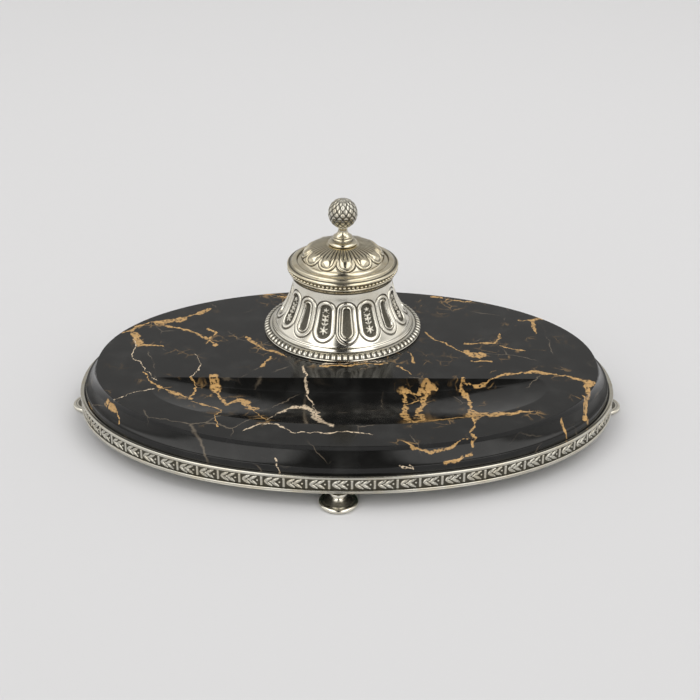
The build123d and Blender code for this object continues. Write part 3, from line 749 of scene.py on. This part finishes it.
def laurel(along, across):
    """Raised height of one group: an upright bar, two pairs of leaves and two berries."""
    bar = dome(np.clip(np.abs(along) / 0.8, 0, 1)) * smooth(3.15, 2.8, np.abs(across))
    height = bar * 0.9
    for start in (1.7, 5.7):
        for lean in (0.5, -0.5):
            height = np.maximum(height, leaf(along, across - np.sign(lean) * 0.1, start, lean))
    for centre in (5.3, 10.6):
        distance = np.hypot(along - centre, across)
        height = np.maximum(height, 0.85 * dome(np.clip(distance / 0.65, 0, 1)))
    return height


def frieze_grid(groups):
    """Frieze: closed strip section whose outer face carries laurel groups, repeated round the oval."""
    per_group = 48
    columns = groups * per_group
    module = oval_stations(columns)[2] / groups
    phase = 3.1
    along = np.mod(np.arange(columns) * module / per_group - phase + module / 20, module) - module / 20
    low, high = 11.0, 18.8
    heights = np.linspace(low, high, 27)
    across = heights[:, None] - (low + high) / 2
    raised = laurel(along[None], across) * smooth(3.4, 3.1, np.abs(across))
    section = np.stack([np.full(27, -1.08), heights], -1)
    grid = oval_sweep(section, columns, raised * 0.85)
    back = oval_sweep(np.array([[-1.28, high], [-1.28, low]]), columns)
    dark = np.concatenate([0.92 * (1 - smooth(0.05, 0.75, raised)), np.ones((2, columns))])
    return np.concatenate([grid, back]), dark


class INKWELL_OT_rim(bpy.types.Operator):
    """Build the silver frieze strip and its upper and lower mouldings"""
    bl_idname = "inkwell.rim"
    bl_label = "Rim mount"

    def execute(self, context):
        grid, dark = frieze_grid(context.scene.inkwell_sizes.laurels)
        make_piece("laurel_frieze", [(grid, dark, 0, RING)], rubbed_silver(), "stand",
                   ["rim_frieze_strip"])
        upper = rounded([(-0.95, 18.5, 0.15), (-0.25, 18.5, 0.2), (0.0, 19.0, 0.3), (0.0, 20.1, 0.4),
                         (-0.6, 20.5, 0.3), (-1.5, 20.25, 0.3), (-2.5, 20.3, 0.2), (-2.6, 19.75, 0.1),
                         (-1.2, 19.75, 0.1)])
        lower = rounded([(-0.95, 9.1, 0.1), (-0.4, 8.95, 0.2), (0.0, 9.4, 0.3), (-0.25, 10.1, 0.2),
                         (0.0, 10.5, 0.3), (-0.2, 11.2, 0.3), (-0.95, 11.3, 0.1)])
        for name, section, node in (("upper_wire", upper, "rim_upper_moulding"),
                                    ("lower_wire", lower, "rim_lower_moulding")):
            # Painted shade: each wire is darkened on its inset back part, and the upper wire only low down,
            # along its underside.
            shade = np.clip(smooth(-0.5, -1.0, section[:, 0]) * 0.9, 0, 1)[:, None]
            if name == "upper_wire":
                shade = shade * smooth(20.0, 19.0, section[:, 1])[:, None]
            make_piece(name, [(oval_sweep(section, 960), shade, 0, RING)], rubbed_silver(), "stand",
                       [node])
        return {"FINISHED"}


class INKWELL_OT_feet(bpy.types.Operator):
    """Build the four turned feet"""
    bl_idname = "inkwell.feet"
    bl_label = "Feet"

    def execute(self, context):
        dish = rounded([(0, 0, 0), (10.6, 0, 0.7), (11.75, 1.1, 0.8), (11.3, 2.6, 0.6), (10.2, 2.9, 0.35),
                        (9.3, 2.6, 0.3), (8.5, 2.75, 0.3), (7.2, 3.1, 1), (4.4, 4.1, 1), (3.3, 5.4, 0.6),
                        (3.3, 6.2, 0.3), (4.2, 6.6, 0.3), (5.4, 7.3, 0.4), (5.4, 8.85, 0.2), (0, 8.88, 0)],
                       closed=False)
        section = refined(dish, 0.6)
        # Painted shade and highlight: the dish is darkened from 5 to 8.2 mm out and in a thin line at 9.5
        # mm, which leaves a light ring between; the parts above 5 mm stay light.
        shade = np.interp(section[:, 0], [3.2, 5, 8.2, 8.6, 9.1, 9.5, 9.9, 20],
                          [0.2, 0.7, 0.8, 0.1, 0.1, 0.9, 0.1, 0])
        shade = np.where(section[:, 1] > 5, 0.1, shade)[:, None]
        for side in ("front", "back", "left", "right"):
            low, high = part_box(f"foot_{side}")
            centre = ((low.x + high.x) / 2 / MM, (low.y + high.y) / 2 / MM)
            make_piece(f"turned_foot_{side}", [(turned(section, 96, centre), shade, 0, CLOSED)], silver(),
                       "stand", [f"foot_{side}"])
        return {"FINISHED"}


# ---------------------------------------------------------------- well
PLAIN_PANEL_TURN = np.radians(4.6)


def flare(height):
    """Outer radius of the well: it sweeps out with the square of the drop, a little drawn in at the neck."""
    drop = np.clip((72.9 - height) / 34.5, 0, 1)
    return 32.4 + 14.9 * drop ** 2.0 - 0.6 * smooth(66.5, 73.5, height)


def rosette(x, y, size, petals):
    """Raised height of a flower: petals as a cosine of the angle, falling to the rim, and a round boss."""
    distance = np.hypot(x, y) / size
    wave = 0.62 + 0.38 * np.cos(petals * np.arctan2(x, y))
    petal = smooth(1.0, 0.55, distance / np.maximum(wave, 0.05)) * (0.55 + 0.45 * np.sin(distance * 4.4))
    return np.maximum(np.clip(petal, 0, 1), dome(np.clip(distance / 0.3, 0, 1)))


def pod(x, y, lean, length, half):
    """Raised height of one leaf or bud: an ellipse turned by lean about its lower end."""
    run = x * np.sin(lean) + y * np.cos(lean)
    side = x * np.cos(lean) - y * np.sin(lean)
    return dome(np.clip(np.hypot((run / length - 0.5) * 2, side / half), 0, 1))


def panels(angle, height, count):
    """Raised height, tarnished hollows and matting of the framed panels, alternately a plain slot and a
    spray.

    Each frame is a tapered capsule: its half-width is half the pitch at that height, and the section
    runs with the distance inwards from its outline.
    """
    pitch = TURN / count
    number = np.floor((angle - PLAIN_PANEL_TURN) / pitch + 0.5)
    turn = angle - PLAIN_PANEL_TURN - number * pitch
    spray = np.mod(number, 2) == 1
    x = turn * flare(height)
    low, high = 42.7, 67.4
    low_half = pitch / 2 * flare(low + 7) - 0.1
    high_half = pitch / 2 * flare(high - 6) - 0.1
    slope = 1.16
    y = (height - low) * slope
    top = (high - low) * slope
    spine = np.clip(y, low_half, top - high_half)
    share = (spine - low_half) / (top - high_half - low_half)
    half = low_half + (high_half - low_half) * share
    inward = half - np.hypot(x, y - spine)
    outline = np.exp(-((inward - 0.1) / 0.42) ** 2)
    border = smooth(0.35, 0.85, inward) * smooth(3.05, 2.5, inward)
    border = border * (0.8 + 0.2 * dome((inward - 1.7) / 1.5))
    groove = np.exp(-((inward - 3.25) / 0.36) ** 2)
    ridge = dome(np.clip((inward - 4.05) / 0.5, -1, 1))
    slot = smooth(4.5, 5.1, inward)
    plain = 0.42 * border - 0.5 * outline - 0.3 * groove + 0.5 * ridge - 0.9 * slot
    plain_dark = np.clip(outline + 0.95 * groove + 0.85 * slot, 0, 1)
    field = smooth(2.95, 3.3, inward)
    middle = y - top / 2
    motif = rosette(x, y - low_half - 0.3, 4.4, 6)
    motif = np.maximum(motif, rosette(x, y - top + high_half + 0.4, 2.6, 5))
    for lean in (-0.8, 0.8):
        for step in (-3.4, -0.6, 2.2):
            motif = np.maximum(motif, 0.9 * pod(x, middle - step, lean, 3.4, 0.75))
            berry = np.hypot(x - np.sign(lean) * 1.9, middle - step - 3.3)
            motif = np.maximum(motif, 0.8 * dome(np.clip(berry / 0.55, 0, 1)))
    motif = np.maximum(motif, pod(x, middle + 3.6, 0, 8.2, 0.55))
    motif = np.maximum(motif, dome(np.clip(np.hypot(x, middle - 1.2) / 1.0, 0, 1)))
    rib = np.exp(-((inward - 3.05) / 0.22) ** 2)
    floral = 0.42 * border - 0.5 * outline - 0.2 * rib + field * (motif - 0.6)
    floral_dark = np.clip(outline + 0.7 * rib + field * (0.8 - 0.62 * smooth(0.3, 0.85, motif)), 0, 1)
    inside = smooth(-0.35, 0.1, inward)
    raised = np.where(spray, floral, plain) * inside
    dark = np.where(spray, floral_dark, plain_dark) * smooth(-0.5, -0.1, inward)
    return raised, dark, np.where(spray, field, 0.0)


class INKWELL_OT_well(bpy.types.Operator):
    """Build the chased well body, its gadrooned foot border and its collar"""
    bl_idname = "inkwell.well"
    bl_label = "Well"

    def execute(self, context):
        sizes = context.scene.inkwell_sizes
        columns = 800
        angle = np.arange(columns)[None] * TURN / columns
        heights = np.linspace(38.6, 72.85, 108)[:, None]
        section = np.hstack([flare(heights), heights])
        raised, dark, matted = panels(angle, heights, sizes.cartouches)
        fillet = 0.45 * np.exp(-((heights - 40.1) / 0.55) ** 2)
        quirk = 0.3 * np.exp(-((heights - 41.2) / 0.4) ** 2)
        raised = raised + fillet - quirk
        # Painted shade: a dark band at the top of the wall, under the collar. The foot of the wall is also
        # darkened, beside the gadroon border.
        dark = np.clip(dark + 0.55 * smooth(39.3, 38.8, heights) + 0.5 * smooth(71.6, 72.8, heights), 0, 1)
        outer = turned(section, columns, raised=raised)
        inner = turned(section[::-9] - [1.4, 0], columns)
        blank = np.zeros((len(inner), columns))
        # The inner wall is darkened evenly as painted shade.
        make_piece("chased_well", [(np.concatenate([outer, inner]), np.concatenate([dark, blank + 0.6]),
                                    np.concatenate([matted, blank]), RING)], silver(), "stand",
                   ["well_body"])

        lobes = sizes.gadroons
        columns = lobes * 14
        angle = np.arange(columns)[None] * TURN / columns
        foot = rounded([(46.5, 34.35, 0), (51.8, 34.35, 0.2), (52.5, 34.9, 0.4), (52.3, 35.7, 0.4),
                        (51.6, 35.9, 0)], closed=False)
        bulge = arc((49.6, 36.1), (2.7, 2.1), -8, 105, 14)
        section = np.concatenate([foot, bulge, [[48.2, 37.9], [47.7, 38.3], [46.9, 38.3], [46.5, 38.0]]])
        upward = np.arange(len(section))[:, None]
        first, last = len(foot), len(foot) + len(bulge) - 1
        share = np.clip((upward - first) / (last - first), 0, 1)
        lobed = (upward >= first) & (upward <= last)
        window = np.sin(np.pi * share) ** 0.5 * lobed
        wave = np.abs(np.cos(angle * lobes / 2))
        grid = turned(section, columns, raised=(dome(wave) - 1) * window)
        ends = smooth(0.2, 0.0, share) + smooth(0.85, 1.0, share)
        shade = np.clip(lobed * (smooth(0.6, 0.95, wave) + ends), 0, 1)
        make_piece("gadroon_border", [(grid, shade, 0, RING)], silver(), "stand",
                   ["well_foot_border"])

        collar = rounded([(31.1, 72.95, 0.1), (33.8, 72.95, 0.3), (34.1, 74.2, 0.3), (34.7, 75.1, 0.4),
                          (34.7, 76.6, 0.5), (34.0, 77.35, 0.2), (31.1, 77.35, 0.2)])
        # Painted shade: the collar is darkened from its lower step down to its underside.
        shade = np.clip(smooth(74.6, 73.2, collar[:, 1]), 0, 1)[:, None] * 0.8
        make_piece("collar", [(turned(collar, 240), shade, 0, RING)], warm_silver(), "stand",
                   ["well_collar"])
        return {"FINISHED"}


# ---------------------------------------------------------------- lid
DOME_RADIUS = 26.7
DOME_FOOT = 84.6
DOME_RISE = 10.1
DOME_POWER = 2.2


def dome_section():
    """Lid dome as even steps of (radius, height), from its foot in to the finial.

    It follows (r / radius)^n + (z / rise)^n = 1, where n is its power.
    """
    sweep = np.linspace(0.0, 1.266, 400)
    radius = DOME_RADIUS * np.cos(sweep) ** (2 / DOME_POWER)
    height = DOME_FOOT + DOME_RISE * np.sin(sweep) ** (2 / DOME_POWER)
    travel = np.concatenate([[0], np.cumsum(np.hypot(np.diff(radius), np.diff(height)))])
    even = np.linspace(0, travel[-1], 104)
    return np.stack([np.interp(even, travel, radius), np.interp(even, travel, height)], -1)


def tongues(angle, radius, climb, count):
    """Raised height and tarnished hollows of the lid's tongues: round-ended lobes in a U outline, rays
    between them.

    Climb is the way up the dome from its foot, so that a tongue keeps its shape over the shoulder.
    """
    pitch = TURN / count
    offset = np.radians(5.0)
    turn = np.mod(angle - offset + pitch / 2, pitch) - pitch / 2
    x = turn * radius
    foot, end = 0.8, 6.2
    half = 0.495 * pitch * radius
    y = np.clip(foot + end - climb, 0, None)
    level = np.hypot(x / half, y / end)
    ray = np.abs(np.mod(turn / pitch * 4 + 0.5, 1) - 0.5) * 2
    near = smooth(7.0, 11.0, climb)
    fade = smooth(20.5, 19.5, climb)
    lobe = dome(np.clip(level / 0.6, 0, 1))
    outline = dome(np.clip((level - 0.85) / 0.13, -1, 1))
    gutter = np.exp(-((level - 0.68) / 0.055) ** 2)
    rim_line = np.exp(-((level - 1.03) / 0.07) ** 2)
    raised = (1 - near) * (0.9 * lobe + 0.5 * outline - 0.25 * rim_line) + near * 0.55 * dome(ray) * fade
    dark = (0.95 * gutter + rim_line) * (1 - 0.6 * near) + near * smooth(0.35, 0.8, ray) * fade
    inside = smooth(0.0, 0.7, climb)
    return raised * inside, np.clip(dark, 0, 1) * inside


class INKWELL_OT_lid(bpy.types.Operator):
    """Build the chased lid, its rim mouldings, beads and bezel"""
    bl_idname = "inkwell.lid"
    bl_label = "Lid"

    def execute(self, context):
        sizes = context.scene.inkwell_sizes
        columns = 780
        angle = np.arange(columns)[None] * TURN / columns
        skirt = rounded([(32.5, 77.5, 0), (32.5, 82.0, 0.3), (29.4, 83.15, 0.4), (27.6, 83.7, 0.3)],
                        closed=False)
        crown = dome_section()
        outer = np.concatenate([skirt, crown, [[2.0, 94.4]]])
        on_crown = np.zeros((len(outer), 1))
        on_crown[len(skirt):-1] = 1
        step = np.hypot(*(crown[1] - crown[0]))
        climb = ((np.arange(len(outer)) - len(skirt)) * step)[:, None]
        raised, dark = tongues(angle, outer[:, :1], climb, sizes.tongues)
        grid = turned(outer, columns, raised=raised * on_crown)
        inside = np.array([[2.0, 93.5], [9.0, 93.5], [15.8, 92.0], [21.2, 89.8], [24.4, 87.2], [25.6, 84.2],
                           [29.0, 82.3], [31.6, 81.2], [31.6, 77.5]])
        inner = turned(inside, columns)
        # The inside of the lid is darkened evenly as painted shade.
        shade = np.concatenate([dark * on_crown, np.full((len(inner), columns), 0.3)])
        make_piece("chased_lid", [(np.concatenate([grid, inner]), shade, 0, RING)], warm_silver(), "lid",
                   ["lid_shell"])

        lower = arc((35.05, 80.6), (1.5, 1.35), -85, 78, 14)
        upper = arc((31.4, 82.6), (2.2, 1.3), -12, 130, 18)
        section = np.concatenate([[[31.4, 79.3]], lower, upper, [[30.0, 83.0]]])
        gap = len(lower)
        # Painted shade: a dark line in the groove between the two tori, under the lower torus and at the
        # inner end of the upper one.
        shade = np.zeros(len(section))
        shade[gap - 1:gap + 2] = (0.4, 0.9, 0.3)
        shade[:3] = 0.9
        shade[-3:] = 0.7
        make_piece("lid_rim", [(turned(section, 320), shade[:, None], 0, RING)], warm_silver(), "lid",
                   ["lid_rim_moulding"])

        turn = (np.arange(sizes.beads) + 0.5) * TURN / sizes.beads
        spots = np.stack([WELL[0] + 35.3 * np.sin(turn), WELL[1] - 35.3 * np.cos(turn),
                          np.full(sizes.beads, 78.35)], -1)
        spots = spots[(np.abs(turn - np.pi) > 0.1)]
        backing = rounded([(32.65, 77.5, 0.1), (34.6, 77.5, 0.2), (34.9, 78.3, 0.3), (34.6, 79.2, 0.2),
                           (32.65, 79.2, 0.1)])
        # The backing ring behind the beads is darkened as painted shade between the beads.
        make_piece("bead_row", [(turned(backing, 240), 0.85, 0, RING),
                                (balls(spots, (1.15, 1.15, 1.0), 9, 12), 0, 0, CLOSED)],
                   warm_silver(), "lid", ["lid_bead_ring"])

        bezel = rounded([(29.55, 73.9, 0.1), (30.2, 73.9, 0.2), (30.35, 74.4, 0.2), (30.35, 77.45, 0.1),
                         (31.6, 77.5, 0.1), (31.6, 79.1, 0.2), (29.55, 79.1, 0.2)])
        make_piece("bezel", [(turned(bezel, 240), 0.1, 0, RING)], warm_silver(), "lid",
                   ["lid_bezel"])
        return {"FINISHED"}


# ---------------------------------------------------------------- finial
def scales(turn, climb, rings):
    """Raised height of pine scales in staggered rings: pointed domes a little longer than they are wide."""
    per_ring = 14
    best = np.zeros(np.broadcast(turn, climb).shape)
    ring = climb * rings
    for shift in (-1, 0, 1):
        number = np.floor(ring) + shift
        stagger = np.mod(number, 2) / 2
        across = np.mod(turn / TURN * per_ring + stagger, 1) - 0.5
        up = ring - number - 0.5
        level = np.abs(across) * 1.75 + np.abs(up) * 0.95
        round_level = np.hypot(across * 2.1, up * 1.15)
        best = np.maximum(best, dome(np.clip(0.5 * level + 0.5 * round_level, 0, 1)))
    return best


class INKWELL_OT_finial(bpy.types.Operator):
    """Build the finial's turned stem and its scaled ball"""
    bl_idname = "inkwell.finial"
    bl_label = "Finial"

    def execute(self, context):
        stem = rounded([(8.6, 94.45, 0.5), (9.75, 95.5, 1.0), (8.5, 96.75, 0.9), (6.6, 97.0, 0.4),
                        (5.9, 97.8, 0.3), (6.8, 98.4, 0.5), (5.9, 99.1, 0.3), (5.4, 99.4, 0.2),
                        (6.4, 100.0, 0.6), (5.4, 100.6, 0.4), (3.6, 102.1, 1.0), (2.9, 104.0, 1.0),
                        (3.2, 105.5, 0.3), (3.2, 106.2, 0)], closed=False)
        section = np.concatenate([[[0, 94.45], [6, 94.45]], stem, [[0, 106.3]]])
        level = section[:, 1]
        # Painted shade: dark bands in the grooves between the rings, at the waist under the ball, and where
        # the stem meets the dome.
        shade = 0.8 * np.exp(-((level - 97.3) / 0.45) ** 2) + 0.8 * np.exp(-((level - 99.3) / 0.25) ** 2)
        shade = shade + 0.5 * np.exp(-((level - 103.6) / 1.2) ** 2) + 0.6 * smooth(95.1, 94.5, level)
        make_piece("turned_stem", [(turned(section, 128), np.clip(shade, 0, 1)[:, None], 0, CLOSED)],
                   warm_silver(), "lid", ["finial_stem"])

        rows, columns = 190, 336
        latitude = np.linspace(-np.pi / 2, np.pi / 2, rows)[:, None]
        turn = np.arange(columns)[None] * TURN / columns
        half = (BALL_HIGH.x - BALL_LOW.x) / 2 / MM
        centre = BALL_HIGH.z / MM - 10.0
        climb = (np.sin(latitude) * 0.35 + latitude / np.pi * 2 * 0.65 + 1) / 2
        raised = scales(turn, climb, context.scene.inkwell_sizes.scale_rings)
        pole = smooth(0.99, 0.93, np.abs(np.sin(latitude)))
        size = 0.925 + 0.074 * (raised * pole + 0.9 * (1 - pole))
        grid = np.stack([WELL[0] + half * size * np.cos(latitude) * np.sin(turn),
                         WELL[1] - half * size * np.cos(latitude) * np.cos(turn),
                         centre + 10.0 * size * np.sin(latitude)], -1)
        shade = (1 - smooth(0.45, 1.0, raised)) * pole
        make_piece("scaled_ball", [(grid, shade, 0, CLOSED)], rubbed_silver(),
                   "lid", ["finial_ball"])
        return {"FINISHED"}


class INKWELL_OT_fittings(bpy.types.Operator):
    """Finish the frame's own parts that stay in sight: hinge, liner, felt and fixings"""
    bl_idname = "inkwell.fittings"
    bl_label = "Fittings"

    def execute(self, context):
        finishes = {
            steel: ["foot_nuts", "fixing_stud", "fixing_washer", "fixing_nut", "finial_nut", "finial_washer",
                    "hinge_pin"],
            silver: ["rim_flange", "well_base_plate", "liner_seat_ring"],
            warm_silver: ["hinge_leaf_fixed", "hinge_leaf_lid"],
            glass: ["glass_liner"],
            felt: ["base_felt"],
        }
        for finish, names in finishes.items():
            material = finish()
            for name in names:
                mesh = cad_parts[name].data
                mesh.materials.clear()
                mesh.materials.append(material)
        return {"FINISHED"}


# ---------------------------------------------------------------- stage
def studio_world():
    """Soft studio surround: pale to the eye, but it reflects as two soft boxes with a dark gap in front."""
    world = bpy.data.worlds.new("studio")
    bpy.context.scene.world = world
    world.use_nodes = True
    tree = world.node_tree
    tree.nodes.clear()
    direction = add(tree, "ShaderNodeTexCoord").outputs["Generated"]
    parts = add(tree, "ShaderNodeSeparateXYZ", {0: direction})
    x, y, z = parts.outputs
    side = calc(tree, "ABSOLUTE", x)
    ahead = ramp(tree, y, 0.1, 0.5, 1.0, 0.0)
    room = calc(tree, "ADD", ramp(tree, y, -0.6, 0.6, 0.22, 0.5), ramp(tree, side, 0.72, 0.9, 0.0, 0.55))
    box = calc(tree, "MULTIPLY", ramp(tree, side, 0.17, 0.24), ramp(tree, side, 0.7, 0.8, 1.0, 0.0))
    box = calc(tree, "MULTIPLY", calc(tree, "MULTIPLY", box, ahead), ramp(tree, z, 0.02, 0.08))
    gap = calc(tree, "MULTIPLY", ramp(tree, side, 0.13, 0.2, 1.0, 0.0), ahead)
    level = calc(tree, "ADD", room, calc(tree, "MULTIPLY", box, 1.7))
    level = calc(tree, "MULTIPLY", level, calc(tree, "SUBTRACT", 1.0, calc(tree, "MULTIPLY", gap, 0.93)))
    shown = add(tree, "ShaderNodeBackground", {"Color": (0.75, 0.75, 0.75, 1), "Strength": 1.0})
    lit = add(tree, "ShaderNodeBackground", {"Color": (1.0, 0.985, 0.96, 1), "Strength": level})
    path = add(tree, "ShaderNodeLightPath").outputs["Is Camera Ray"]
    mixed = add(tree, "ShaderNodeMixShader", {0: path, 1: lit.outputs[0], 2: shown.outputs[0]})
    output = add(tree, "ShaderNodeOutputWorld", {0: mixed.outputs[0]})
    output.is_active_output = True


def soft_box(name, place, aim, size, power):
    """Square area light that faces a point."""
    light = bpy.data.lights.new(name, "AREA")
    light.size = size
    light.energy = power
    lamp = bpy.data.objects.new(name, light)
    bpy.context.scene.collection.objects.link(lamp)
    lamp.location = place
    lamp.visible_glossy = False
    lamp.rotation_euler = (Vector(aim) - Vector(place)).to_track_quat("-Z", "Y").to_euler()


class INKWELL_OT_stage(bpy.types.Operator):
    """Set the floor, the soft light and the camera"""
    bl_idname = "inkwell.stage"
    bl_label = "Stage"

    def execute(self, context):
        scene = context.scene
        half = 6.0
        mesh = bpy.data.meshes.new("floor")
        mesh.from_pydata([(-half, -half, 0), (half, -half, 0), (half, half, 0), (-half, half, 0)], [],
                         [(0, 1, 2, 3)])
        floor = bpy.data.objects.new("floor", mesh)
        scene.collection.objects.link(floor)
        material, tree, shader = new_material("paper", Roughness=0.9)
        shader.inputs["Base Color"].default_value = (0.6, 0.602, 0.615, 1)
        shader.inputs["Specular IOR Level"].default_value = 0.1
        mesh.materials.append(material)
        studio_world()
        soft_box("overhead", (0.1, 0.25, 1.5), (0, 0, 0), 1.6, scene.inkwell_finish.light)
        scene.view_settings.view_transform = "Standard"

        distance, elevation = 0.85, 0.5009
        focal_pixels = 1320.2
        ahead = Vector((0, np.cos(elevation), -np.sin(elevation)))
        up = Vector((0, np.sin(elevation), np.cos(elevation)))
        look = (ahead * focal_pixels + Vector((1, 0, 0)) * 2.8 + up * 29.0).normalized()
        camera = bpy.data.objects.new("camera", bpy.data.cameras.new("camera"))
        scene.collection.objects.link(camera)
        camera.data.sensor_width = 36.0
        camera.data.lens = focal_pixels * 36.0 / 700
        camera.data.clip_end = 50
        camera.location = Vector((0, 0, RIM_HIGH.z)) - ahead * distance
        camera.rotation_mode = "QUATERNION"
        camera.rotation_quaternion = look.to_track_quat("-Z", "Y") @ Quaternion((0, 0, 1), 0.0056)
        scene.camera = camera
        return {"FINISHED"}


class INKWELL_PT_panel(bpy.types.Panel):
    """Buttons that build the inkwell piece by piece"""
    bl_label = "Desk Inkwell"
    bl_idname = "INKWELL_PT_panel"
    bl_space_type = "VIEW_3D"
    bl_region_type = "UI"
    bl_category = "Inkwell"

    def draw(self, context):
        for group in (context.scene.inkwell_sizes, context.scene.inkwell_finish):
            column = self.layout.column()
            for name in group.__annotations__:
                column.prop(group, name)
        for operator in OPERATORS:
            self.layout.operator(operator.bl_idname)


OPERATORS = (INKWELL_OT_stage, INKWELL_OT_marble, INKWELL_OT_rim, INKWELL_OT_feet, INKWELL_OT_well,
             INKWELL_OT_lid, INKWELL_OT_finial, INKWELL_OT_fittings)
CLASSES = (InkwellSizes, InkwellFinish, *OPERATORS, INKWELL_PT_panel)


def register():
    """Registers the classes and puts the settings on the scene."""
    for item in CLASSES:
        bpy.utils.register_class(item)
    bpy.types.Scene.inkwell_sizes = PointerProperty(type=InkwellSizes)
    bpy.types.Scene.inkwell_finish = PointerProperty(type=InkwellFinish)


def unregister():
    """Takes the settings and classes away again."""
    del bpy.types.Scene.inkwell_finish
    del bpy.types.Scene.inkwell_sizes
    for item in reversed(CLASSES):
        bpy.utils.unregister_class(item)


def main():
    """Builds everything in order."""
    register()
    bpy.ops.inkwell.stage()
    bpy.ops.inkwell.marble()
    bpy.ops.inkwell.rim()
    bpy.ops.inkwell.feet()
    bpy.ops.inkwell.well()
    bpy.ops.inkwell.lid()
    bpy.ops.inkwell.finial()
    bpy.ops.inkwell.fittings()


if __name__ == "__main__":
    main()
